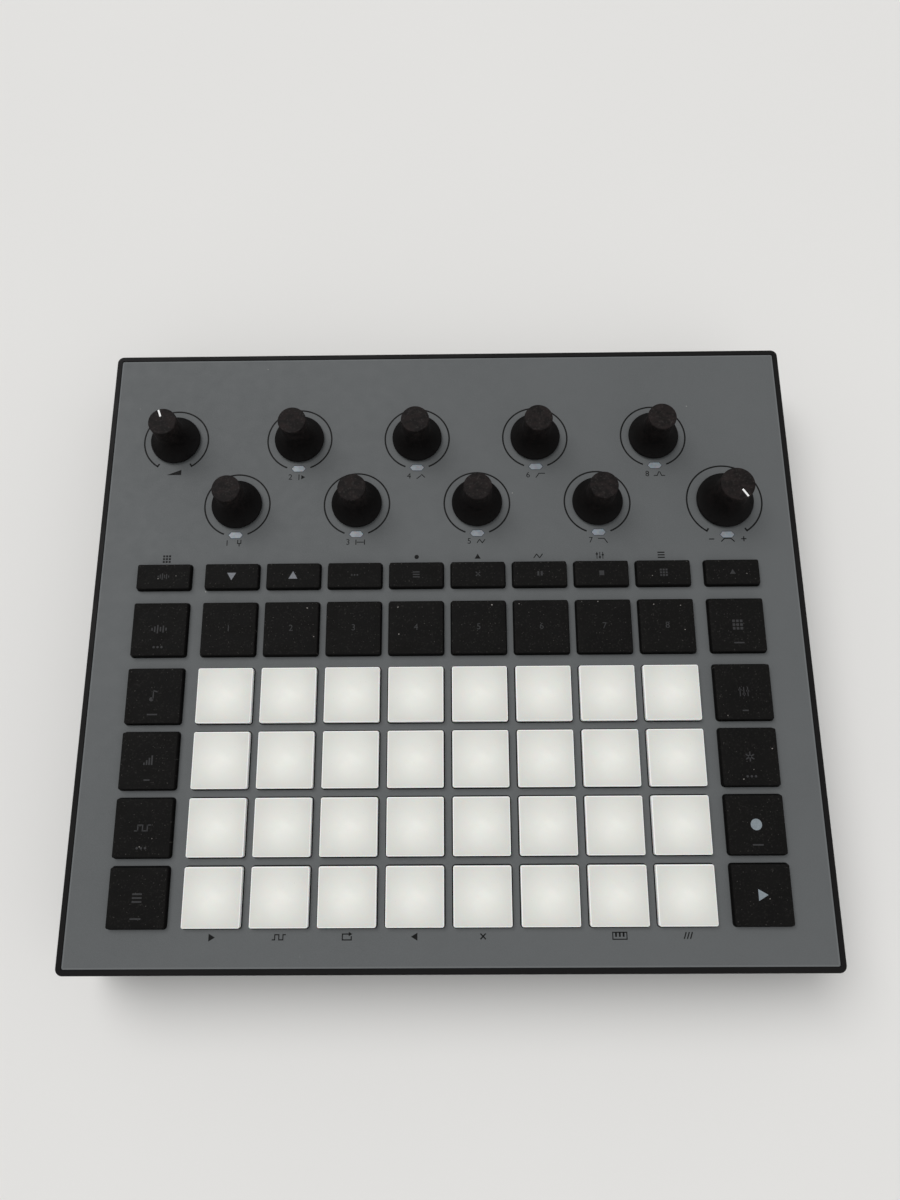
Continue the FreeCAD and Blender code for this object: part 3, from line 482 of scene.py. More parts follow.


# The panel's painted highlight along its outer edge, and the painted shade in its holes
PANEL_HIGHLIGHT_BORDER = 0.6 * MM
PANEL_SHADE_DEPTH = 0.12 * MM
PANEL_DUST = (0.36, 0.36, 0.34)
HOLE_SHADE_BLACK = (0.004, 0.004, 0.004)


def panel_paint(colour):
    """Matte paint with faint clouds, a fine grain and a painted highlight along its outer edge; below its
    top the plate is black, both bare plastic and painted shade in its holes.
    """
    finish = Finish("panel_paint")
    clouds = finish.spread(finish.noise(22, 3), 0.35, 0.65, 0, 1)
    base = finish.blend(clouds, shade(colour, 0.95), shade(colour, 1.05))
    grain = finish.spread(finish.noise(3600, 2), 0.35, 0.65, 0, 1)
    painted = finish.blend(grain, base, shade(colour, 1.12))
    axes = finish.axes()
    # Painted highlight: the paint is lighter in a thin band along the plate's outer edge, where that edge
    # catches light
    highlight_masks = []
    for axis, reach in zip("XY", node_box["face_plate"][1]):
        distance = finish.combine(axes[axis], 0, "ABSOLUTE")
        highlight_masks.append(finish.spread(distance, reach - PANEL_HIGHLIGHT_BORDER, reach - PANEL_HIGHLIGHT_BORDER / 2, 0, 1))
    lit = finish.blend(finish.combine(*highlight_masks, "MAXIMUM"), painted, shade(colour, 1.45))
    dust = finish.specks(60, 0.013, 0.16, "2D")
    dusted = finish.blend(dust, lit, PANEL_DUST)
    # Painted shade: below the panel's top the plate turns black, as bare plastic and as the shade deep in
    # its holes
    hole_shade = finish.spread(axes["Z"], PANEL_TOP - PANEL_SHADE_DEPTH, PANEL_TOP - PANEL_SHADE_DEPTH / 2, 1, 0)
    finish.colour(finish.blend(hole_shade, dusted, HOLE_SHADE_BLACK))
    finish.roughness(finish.noise(240, 3), 0.55, 0.66)
    finish.bump(finish.noise(4200, 2), 0.25, 0.00002)
    finish.set(Specular_IOR_Level=0.2)
    return finish.material


def moulded_plastic(name, colour, grain=1700, roughness=(0.46, 0.6), depth=0.00005):
    """Moulded plastic with a spark-eroded grain and slightly polished patches."""
    finish = Finish(name)
    patches = finish.spread(finish.noise(45, 3), 0.35, 0.7, 0, 1)
    finish.colour(finish.blend(patches, shade(colour, 0.85), shade(colour, 1.3)))
    finish.roughness(finish.noise(90, 4), *roughness)
    finish.bump(finish.noise(grain, 3), 0.5, depth)
    finish.set(Specular_IOR_Level=0.09)
    return finish.material


# Smears to the metre, how much brighter they are, share of haze, shine, pattern of the dust
FLAT_WEAR = (90, 1.8, 0.16, 0.06, "2D")
KNOB_WEAR_AND_SHADE = (430, 4.4, 0.34, 0.09, "3D")
RUBBER_DUST = (0.085, 0.080, 0.074)
# Heights over which a knob's painted shade fades out, darkest at the first
KNOB_SHADE_BOTTOM, KNOB_SHADE_TOP = PANEL_TOP + 2 * MM, PANEL_TOP + 15 * MM


def dusty_rubber(name, colour, wear=FLAT_WEAR):
    """Matte black rubber that holds fine dust and faint smears; on a knob, painted shade makes it darker
    towards its foot.
    """
    smears, brighter, veil, shine, dimensions = wear
    finish = Finish(name)
    smear = finish.spread(finish.noise(smears, 5, (1, 1.6, 1)), 0.42, 0.76, 0, 1)
    base = finish.blend(smear, colour, shade(colour, brighter))
    haze = finish.spread(finish.noise(1700, 3), 0.56, 0.8, 0, veil)
    soft = finish.blend(haze, base, RUBBER_DUST)
    marks = finish.combine(
        finish.specks(330, 0.05, 0.34, dimensions), finish.specks(820, 0.10, 0.22, dimensions), "MAXIMUM")
    dusted = finish.blend(finish.combine(marks, 0.75, "MULTIPLY"), soft, RUBBER_DUST)
    bright = finish.specks(105, 0.022, 0.3, dimensions)
    dusted = finish.blend(bright, dusted, shade(RUBBER_DUST, 3))
    # Painted shade: a knob is darker towards its foot, where its flare is in shade
    if wear is KNOB_WEAR_AND_SHADE:
        height = finish.spread(finish.axes()["Z"], KNOB_SHADE_BOTTOM, KNOB_SHADE_TOP, 0, 1)
        dusted = finish.blend(height, shade(colour, 0.3), dusted)
    finish.colour(dusted)
    finish.roughness(smear, 0.62, 0.76)
    finish.bump(finish.noise(2600, 2), 0.35, 0.00003)
    finish.set(Specular_IOR_Level=shine)
    return finish.material


SILICONE_EDGE_HIGHLIGHT = (0.97, 0.97, 0.95)
SILICONE_DUST = (0.3, 0.3, 0.28)
HIGHLIGHT_FROM, HIGHLIGHT_TO = 0.442, 0.449


def pad_silicone(colour):
    """Milky silicone with painted light: a painted glow, brighter in the middle where light gathers, and a
    thin painted highlight along its edge.
    """
    finish = Finish("pad_silicone", "Generated")
    axes = finish.axes()
    squares, reach = [], []
    for axis in ("X", "Y"):
        offset = finish.combine(axes[axis], -0.5)
        squares.append(finish.combine(offset, offset, "MULTIPLY"))
        reach.append(finish.combine(offset, 0, "ABSOLUTE"))
    distance = finish.combine(finish.combine(*squares), 0.5, "POWER")
    # Painted glow: lighter in the middle and darker towards the sides, as light gathers in the silicone
    glow_fall = finish.spread(distance, 0, 0.6, 0, 1, "SMOOTHSTEP")
    tone = finish.blend(glow_fall, shade(colour, 1.12), shade(colour, 0.86))
    cloud = finish.spread(finish.noise(3.5, 4), 0.4, 0.7, 0, 0.4)
    clouded = finish.blend(cloud, tone, shade(colour, 0.96))
    # Painted highlight: a thin bright line along the pad's edge, where its rounding catches light
    edge = finish.spread(finish.combine(*reach, "MAXIMUM"), HIGHLIGHT_FROM, HIGHLIGHT_TO, 0, 1)
    edge_highlighted = finish.blend(edge, clouded, SILICONE_EDGE_HIGHLIGHT)
    finish.colour(finish.blend(finish.specks(7, 0.02, 0.2, "2D"), edge_highlighted, SILICONE_DUST))
    finish.roughness(finish.noise(5, 3), 0.45, 0.55)
    finish.bump(finish.noise(140, 2), 0.12, 0.00002)
    finish.set(Subsurface_Weight=0.12, Subsurface_Scale=0.0008, Specular_IOR_Level=0.25)
    return finish.material


def flat_ink(name, colour):
    """Screen-printed ink with a slightly uneven cover."""
    finish = Finish(name)
    cover = finish.spread(finish.noise(2400, 2), 0.35, 0.7, 0, 1)
    finish.colour(finish.blend(cover, colour, shade(colour, 1.25)))
    finish.roughness(finish.noise(800, 2), 0.5, 0.65)
    finish.bump(finish.noise(5200, 1), 0.15, 0.00001)
    finish.set(Specular_IOR_Level=0.1)
    return finish.material


def frosted_window(colour):
    """A frosted light pipe with faint clouds in its colour."""
    finish = Finish("light_window")
    cloud = finish.spread(finish.noise(700, 2), 0.35, 0.65, 0, 1)
    finish.colour(finish.blend(cloud, shade(colour, 0.92), shade(colour, 1.1)))
    finish.roughness(finish.noise(900, 2), 0.3, 0.42)
    finish.bump(finish.noise(2600, 2), 0.2, 0.00002)
    finish.set(Subsurface_Weight=0.4, Subsurface_Scale=0.001)
    return finish.material


def plated_metal(name, colour, roughness=(0.28, 0.42)):
    """Plated sheet metal with fine drawn lines."""
    finish = Finish(name)
    lines = finish.spread(finish.noise(900, 3, (1, 0.08, 1)), 0.35, 0.65, 0, 1)
    finish.colour(finish.blend(lines, shade(colour, 0.9), shade(colour, 1.08)))
    finish.roughness(finish.noise(400, 3, (1, 0.1, 1)), *roughness)
    finish.bump(lines, 0.1, 0.00001)
    finish.set(Metallic=1.0)
    return finish.material


def make_finishes():
    """Every finish of the object, by the record's slot or by the piece it is for."""
    colours = bpy.context.scene.groovebox_colours
    return {
        "case_plastic": moulded_plastic("case_plastic", tuple(colours.case)),
        "panel_paint": panel_paint(tuple(colours.panel)),
        "key_rubber": dusty_rubber("key_rubber", tuple(colours.key)),
        "pad_silicone": pad_silicone(tuple(colours.pad)),
        "knob_plastic": dusty_rubber("knob_plastic", tuple(colours.knob), KNOB_WEAR_AND_SHADE),
        "mat_rubber": dusty_rubber("mat_rubber", (0.03, 0.03, 0.03)),
        "board_laminate": moulded_plastic("board_laminate", (0.01, 0.085, 0.03), 2400, (0.3, 0.4), 0.00002),
        "battery_wrap": moulded_plastic("battery_wrap", (0.05, 0.07, 0.16), 600, (0.25, 0.35), 0.00003),
        "plated_steel": plated_metal("plated_steel", (0.6, 0.59, 0.57)),
        "light_pipe": frosted_window(tuple(colours.window)),
        "socket_plastic": moulded_plastic(
            "socket_plastic", (0.013, 0.013, 0.014), 2600, (0.35, 0.5), 0.00002),
        "foot_rubber": dusty_rubber("foot_rubber", (0.012, 0.012, 0.012)),
        "screw_steel": plated_metal("screw_steel", (0.07, 0.07, 0.075), (0.35, 0.5)),
        "ink": flat_ink("panel_ink", tuple(colours.ink)),
        "legend": flat_ink("key_legend", (0.030, 0.030, 0.031)),
        "side_symbol": flat_ink("side_key_symbol", (0.195, 0.225, 0.245)),
        "menu_symbol": flat_ink("menu_key_symbol", (0.158, 0.164, 0.178)),
        "bezel": flat_ink("window_bezel", (0.055, 0.060, 0.070)),
        "pointer": flat_ink("pointer_paint", (0.80, 0.80, 0.79)),
    }


finishes = {}


# Small printed marks, each a list of plain shapes in millimetres


def bar(x, y, width, height, turn=0):
    """A rectangle about its middle, turned anticlockwise in degrees."""
    half_w, half_h = width / 2, height / 2
    cos, sin = math.cos(math.radians(turn)), math.sin(math.radians(turn))
    corners = ((half_w, half_h), (-half_w, half_h), (-half_w, -half_h), (half_w, -half_h))
    return [(x + px * cos - py * sin, y + px * sin + py * cos) for px, py in corners]


def disc(x, y, radius, sides=40):
    angles = [FULL_TURN * side / sides for side in range(sides)]
    return [(x + radius * math.cos(angle), y + radius * math.sin(angle)) for angle in angles]


def triangle(x, y, size, turn=0):
    """A triangle with one point towards its turn; at 0 it points right."""
    points = []
    for corner in range(3):
        angle = math.radians(turn + 120 * corner)
        points.append((x + size * math.cos(angle), y + size * math.sin(angle)))
    return points


def bars(heights, step=0.75, width=0.36):
    """A row of upright bars, centred."""
    first = -(len(heights) - 1) / 2 * step
    return [bar(first + index * step, 0, width, height) for index, height in enumerate(heights)]


MARKS = {
    "wave": bars([0.7, 1.5, 2.3, 1.2, 1.9, 0.8]),
    "rising": [bar(-1 + 0.66 * n, -0.8 + 0.3 * n, 0.4, 0.6 + 0.6 * n) for n in range(4)],
    "gate": [bar(x, y, 0.9, 0.3) for x, y in ((-1.6, -0.7), (1.6, 0.7))]
    + [bar(x, y, 1, 0.3) for x, y in ((-0.6, 0.7), (0.6, -0.7))]
    + [bar(x, 0, 0.3, 1.7) for x in (-1.2, 0, 1.2)],
    "grid": [bar(x, y, 0.7, 0.7) for x in (-1, 0, 1) for y in (-1, 0, 1)],
    "note": [disc(-0.5, -0.9, 0.55), bar(-0.08, 0.2, 0.3, 2.3), bar(0.4, 1.2, 1.2, 0.35, -18)],
    "faders": [bar(x, 0, 0.25, 2.4) for x in (-1, 0, 1)]
    + [bar(x, y, 0.75, 0.45) for x, y in ((-1, 0.5), (0, -0.6), (1, 0.2))],
    "spark": [bar(0, 0, 0.34, 2.4, turn) for turn in (0, 60, 120)],
    "layers": [bar(0, y, 2.4, 0.42) for y in (-0.9, 0, 0.9)],
    "pair": [bar(x, 0, 0.7, 1.6) for x in (-0.55, 0.65)],
    "dots": [disc(x, 0, 0.3, 16) for x in (-1, 0, 1)],
    "dash": [bar(0, 0, 2.6, 0.36)],
    "short_dash": [bar(0, 0, 1.5, 0.34)],
    "cross": [bar(0, 0, 0.36, 2.2, turn) for turn in (45, -45)],
    "plus": [bar(0, 0, 0.3, 1.5), bar(0, 0, 1.5, 0.3)],
    "minus": [bar(0, 0, 1.5, 0.3)],
    "play": [triangle(-0.1, 0, 1.25)],
    "back": [triangle(0.1, 0, 1.25, 180)],
    "square": [bar(0, 0, 1.7, 1.7)],
    "spot": [disc(0, 0, 0.75)],
    "peak": [triangle(0, -0.2, 1.2, 90)],
    "zigzag": [bar(x, 0, 0.32, 1.8, turn) for x, turn in ((-1.2, -35), (-0.2, 35), (0.8, -35))],
    "slants": [bar(x, 0, 0.34, 2.0, -20) for x in (-0.9, 0, 0.9)],
    "keyboard": [bar(0, y, 4.4, 0.3) for y in (-0.95, 0.95)] + [bar(x, 0, 0.3, 1.9) for x in (-2.05, 2.05)]
    + [bar(x, 0.3, 0.55, 1.2) for x in (-1.1, 0, 1.1)],
    "loop": [
        bar(0, -0.8, 2.6, 0.32), bar(-0.3, 0.8, 2.0, 0.32), bar(-1.3, 0, 0.32, 1.9),
        bar(1.3, -0.35, 0.32, 1.2), triangle(0.9, 0.8, 0.7),
    ],
    "tuning": [
        bar(0, -0.7, 0.34, 1.1), bar(0, -0.1, 1.5, 0.34),
        bar(-0.6, 0.6, 0.34, 1.4), bar(0.6, 0.6, 0.34, 1.4),
    ],
    "start": [bar(-1.3, 0, 0.34, 2.2), triangle(0.1, 0, 1.0)],
    "length": [bar(-1.6, 0, 0.34, 2.0), bar(1.6, 0, 0.34, 2.0), bar(0, 0, 2.6, 0.32)],
    "ramp": [bar(-0.8, -0.4, 2.2, 0.32, 38), bar(0.8, 0.1, 1.9, 0.32, -45)],
    "high_pass": [bar(-1.0, -0.2, 2.2, 0.32, 55), bar(0.75, 0.66, 2.3, 0.32)],
    "low_pass": [bar(1.0, -0.2, 2.2, 0.32, -55), bar(-0.75, 0.66, 2.3, 0.32)],
    "bell": [bar(x, -0.7, 1.3, 0.32) for x in (-1.5, 1.5)]
    + [bar(x, 0.1, 1.9, 0.32, turn) for x, turn in ((-0.5, 68), (0.5, -68))],
    "band": [bar(-1.4, -0.3, 1.4, 0.3, 45), bar(0, 0.15, 2.0, 0.3), bar(1.4, -0.3, 1.4, 0.3, -45)],
    "wedge": [[(-1.7, -0.55), (1.7, -0.55), (1.7, 0.75)]],
}


def add_mark(mesh, outlines, x, y, height, scale=1.0):
    """Print a mark at a place, its ink sunk slightly into the surface."""
    for outline in outlines:
        placed = [(x + px * scale * MM, y + py * scale * MM) for px, py in outline]
        add_prism(mesh, placed, height - INK_SINK, height + INK_RISE)


def add_digit(mesh, text, x, y, height, size):
    """A plain number, centred, as a flat solid."""
    curve = bpy.data.curves.new("digit", "FONT")
    curve.body = text
    curve.size = size
    curve.align_x = "CENTER"
    curve.align_y = "CENTER"
    curve.resolution_u = 4
    curve.extrude = (INK_RISE + INK_SINK) / 2
    letter = bpy.data.objects.new("digit", curve)
    flat = bpy.data.meshes.new_from_object(letter)
    flat.transform(Matrix.Translation((x, y, height + (INK_RISE - INK_SINK) / 2)))
    mesh.from_mesh(flat)
    bpy.data.objects.remove(letter)
    bpy.data.curves.remove(curve)
    bpy.data.meshes.remove(flat)


# Operators, one for each group of pieces


class GROOVEBOX_OT_finishes(bpy.types.Operator):
    """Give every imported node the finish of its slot"""

    bl_idname = "groovebox.finishes"
    bl_label = "Finishes"

    def execute(self, context):
        finishes.update(make_finishes())
        for subpart in frame["record"]["subparts"]:
            for slot in frame["nodes"][subpart["node"]].material_slots:
                slot.material = finishes[subpart["material_slot"]]
        return {"FINISHED"}


class GROOVEBOX_OT_keys(bpy.types.Operator):
    """Make the black rubber keys"""

    bl_idname = "groovebox.keys"
    bl_label = "Rubber keys"

    def execute(self, context):
        sizes = context.scene.groovebox_keys
        for name in ALL_KEYS:
            mesh = bmesh.new()
            add_key(mesh, node_box[name], sizes, sizes.key_edge)
            # The mat rubber finish is painted shade on the walls deep in the hole
            finish, under = finishes["key_rubber"], finishes["mat_rubber"]
            new_piece(f"{name}_cap", mesh, finish, name, [name], under)
        return {"FINISHED"}


class GROOVEBOX_OT_pads(bpy.types.Operator):
    """Make the white silicone pads, eight to a row"""

    bl_idname = "groovebox.pads"
    bl_label = "Silicone pads"

    def execute(self, context):
        sizes = context.scene.groovebox_keys
        for row, name in enumerate(PAD_ROWS, start=1):
            for column, box in enumerate(pad_boxes(name), start=1):
                mesh = bmesh.new()
                add_key(mesh, box, sizes, sizes.pad_edge, sizes.pad_crown)
                pad = f"pad_{row}_{column}"
                # The mat rubber finish is painted shade on the walls deep in the hole
                finish, under = finishes["pad_silicone"], finishes["mat_rubber"]
                new_piece(pad, mesh, finish, name, [name], under)
        return {"FINISHED"}


class GROOVEBOX_OT_key_marks(bpy.types.Operator):
    """Print the marks on the keys"""

    bl_idname = "groovebox.key_marks"
    bl_label = "Key marks"

    FAINT = {
        "sample_key": ("wave", "dots"), "note_key": ("note", "dash"),
        "velocity_key": ("rising", "short_dash"), "gate_key": ("gate", "dots"),
        "pattern_settings_key": ("layers", "dash"), "patterns_key": ("grid", "dash"),
        "mixer_key": ("faders", "short_dash"), "effects_key": ("spark", "dots"),
        "record_key": (None, "dash"),
    }
    MENU = {
        "sample_record_key": "wave", "step_page_key": "dots", "tempo_key": "layers", "clear_key": "cross",
        "duplicate_key": "pair", "save_key": "square", "projects_key": "grid", "shift_key": "peak",
    }
    PALE = {
        "page_down_key": [triangle(0, 0.25, 1.75, -90)], "page_up_key": [triangle(0, -0.25, 1.75, 90)],
        "record_key": [disc(0, 0, 1.75)], "play_key": [triangle(-0.3, 0, 2.0)],
    }
    LOWER_MARK = -6.1 * MM
    NUMBER_SIZE = 3.0 * MM
    MAIN_SCALE = 1.25
    LOWER_SCALE = 1.3
    MENU_SCALE = 0.95

    def execute(self, context):
        for number, name in enumerate(TRACK_KEYS, start=1):
            mesh = bmesh.new()
            add_digit(mesh, str(number), *middle_of(name), KEY_TOP, self.NUMBER_SIZE)
            new_piece(f"{name}_number", mesh, finishes["legend"], name)
        for name, (main, lower) in self.FAINT.items():
            x, y = middle_of(name)
            mesh = bmesh.new()
            if main:
                add_mark(mesh, MARKS[main], x, y, KEY_TOP, self.MAIN_SCALE)
            add_mark(mesh, MARKS[lower], x, y + self.LOWER_MARK, KEY_TOP, self.LOWER_SCALE)
            new_piece(f"{name}_marks", mesh, finishes["legend"], name)
        for name, mark in self.MENU.items():
            mesh = bmesh.new()
            add_mark(mesh, MARKS[mark], *middle_of(name), KEY_TOP, self.MENU_SCALE)
            new_piece(f"{name}_mark", mesh, finishes["legend"], name)
        for name, outlines in self.PALE.items():
            mesh = bmesh.new()
            add_mark(mesh, outlines, *middle_of(name), KEY_TOP)
            ink = "menu_symbol" if name in MENU_KEYS else "side_symbol"
            new_piece(f"{name}_symbol", mesh, finishes[ink], name)
        return {"FINISHED"}


class GROOVEBOX_OT_knobs(bpy.types.Operator):
    """Turn the flared knobs and their shafts, and paint two pointers"""

    bl_idname = "groovebox.knobs"
    bl_label = "Knobs"

    POINTERS = {"volume_knob": "volume_pointer", "filter_knob": "filter_pointer"}
    SHAFT_RADIUS = 3.0 * MM
    SHAFT_BEVEL = 0.3 * MM
    ROOF = 2.6 * MM
    WELL_RADIUS = 4.6 * MM
    WELL_HEIGHT = 1.9 * MM
    RIM_BEVEL = 0.15 * MM
    FLARE_STEPS = 24
    EDGE_STEPS = 6

    # Starts and ends are parts of the stem's radius; depths are below the cap's top
    SLOT_START = 0.38
    SLOT_WIDTH = 0.95 * MM
    SLOT_DEPTH = 0.4 * MM
    BAR_START, BAR_END = 0.41, 0.94
    BAR_WIDTH = 0.62 * MM
    BAR_FOOT, BAR_TOP = 0.6 * MM, 0.03 * MM

    def execute(self, context):
        sizes = context.scene.groovebox_knobs
        for name in KNOBS:
            low, high = node_box[name]
            x, y = middle_of(name)
            stem = sizes.filter_stem if name == "filter_knob" else sizes.stem
            mesh = bmesh.new()
            add_turned(mesh, self.profile(sizes, (high.x - low.x) / 2, stem, high.z), x, y)
            knob = new_piece(f"{name}_body", mesh, finishes["knob_plastic"], name, [name])
            shaft = bmesh.new()
            add_turned(shaft, self.shaft_profile(low.z, high.z - self.ROOF), x, y, steps=48)
            new_piece(f"{name}_shaft", shaft, finishes["plated_steel"], name)
            if name in self.POINTERS:
                self.add_pointer(knob, name, getattr(sizes, self.POINTERS[name]), x, y, stem, high.z)
        return {"FINISHED"}

    def shaft_profile(self, foot, top):
        """A round rod with both ends bevelled."""
        inner = self.SHAFT_RADIUS - self.SHAFT_BEVEL
        lower = [(0, foot), (inner, foot), (self.SHAFT_RADIUS, foot + self.SHAFT_BEVEL)]
        return lower + [(self.SHAFT_RADIUS, top - self.SHAFT_BEVEL), (inner, top), (0, top)]

    def profile(self, sizes, radius, stem, top):
        """From the hollow underside round the rim, up the flare and over the cap."""
        under = PANEL_TOP + sizes.gap
        rim, flare = under + sizes.rim, under + sizes.flare
        well = under + self.WELL_HEIGHT
        bevel = self.RIM_BEVEL
        points = [(0, well), (self.WELL_RADIUS, well), (self.WELL_RADIUS, under), (radius - bevel, under)]
        points += [(radius, under + bevel), (radius, rim - bevel), (radius - bevel, rim)]
        run, rise = radius - bevel - stem, flare - rim
        bend = (run * run + rise * rise) / (2 * run)
        turn = math.asin(rise / bend)
        for step in range(1, self.FLARE_STEPS + 1):
            angle = turn * (1 - step / self.FLARE_STEPS)
            points.append((stem + bend - bend * math.cos(angle), flare - bend * math.sin(angle)))
        points += [(stem, top - sizes.edge)]
        for step in range(1, self.EDGE_STEPS + 1):
            angle = math.pi / 2 * step / self.EDGE_STEPS
            inset = sizes.edge * (1 - math.cos(angle))
            points.append((stem - inset, top - sizes.edge + sizes.edge * math.sin(angle)))
        points += [(stem * 0.5, top), (0, top)]
        return points

    def add_pointer(self, knob, name, turn, x, y, stem, top):
        """A white bar in a slot that runs out over the cap's edge."""
        along = Vector((-math.sin(turn), math.cos(turn), 0))
        across = Vector((along.y, -along.x, 0))
        centre = Vector((x, y, 0))

        def slab(mesh, start, end, width, low, high):
            outline = []
            for distance, side in ((start, -1), (end, -1), (end, 1), (start, 1)):
                spot = centre + along * distance - across * side * width / 2
                outline.append((spot.x, spot.y))
            add_prism(mesh, outline, low, high)

        cutter = bmesh.new()
        slab(cutter, self.SLOT_START * stem, stem + MM, self.SLOT_WIDTH, top - self.SLOT_DEPTH, top + MM)
        tool = new_piece(f"{name}_slot_tool", cutter, finishes["pointer"], name)
        cut = knob.modifiers.new("pointer_slot", "BOOLEAN")
        cut.operation = "DIFFERENCE"
        cut.solver = "EXACT"
        cut.object = tool
        depsgraph = bpy.context.evaluated_depsgraph_get()
        shaped = bpy.data.meshes.new_from_object(knob.evaluated_get(depsgraph))
        knob.modifiers.clear()
        knob.data = shaped
        bpy.data.objects.remove(tool)
        mesh = bmesh.new()
        start, end = self.BAR_START * stem, self.BAR_END * stem
        slab(mesh, start, end, self.BAR_WIDTH, top - self.BAR_FOOT, top - self.BAR_TOP)
        new_piece(f"{name}_pointer", mesh, finishes["pointer"], name)


class GROOVEBOX_OT_windows(bpy.types.Operator):
    """Set a six-sided light window under each knob but the first"""

    bl_idname = "groovebox.windows"
    bl_label = "Light windows"

    DROP = {"filter_knob": 12.3 * MM}
    STANDARD_DROP = 11.0 * MM
    PATCH_CORNER = 0.9 * MM
    POINT = 0.42

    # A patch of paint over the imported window, a bezel and the lit face: finish, length, width, rise
    LAYERS = [
        ("panel_paint", 5.6 * MM, 2.9 * MM, 0.010 * MM),
        ("bezel", 5.4 * MM, 2.6 * MM, 0.020 * MM),
        ("light_pipe", 4.8 * MM, 2.1 * MM, 0.035 * MM),
    ]

    def execute(self, context):
        for name in MACRO_KNOBS + ["filter_knob"]:
            x, y = middle_of(name)
            y -= self.DROP.get(name, self.STANDARD_DROP)
            for layer, (finish, length, width, rise) in enumerate(self.LAYERS):
                if layer:
                    outline = self.hexagon(length, width)
                else:
                    outline = rounded_outline(length, width, self.PATCH_CORNER)
                placed = [(x + px, y + py) for px, py in outline]
                mesh = bmesh.new()
                add_prism(mesh, placed, PANEL_TOP - PRINT_SINK, PANEL_TOP + rise)
                new_piece(f"{name}_window_{layer}", mesh, finishes[finish])
        return {"FINISHED"}

    def hexagon(self, length, width):
        """A long six-sided outline with its two points at the sides."""
        flat = length / 2 - width * self.POINT
        half = [(length / 2, 0), (flat, width / 2), (-flat, width / 2)]
        return half + [(-x, -y) for x, y in half]


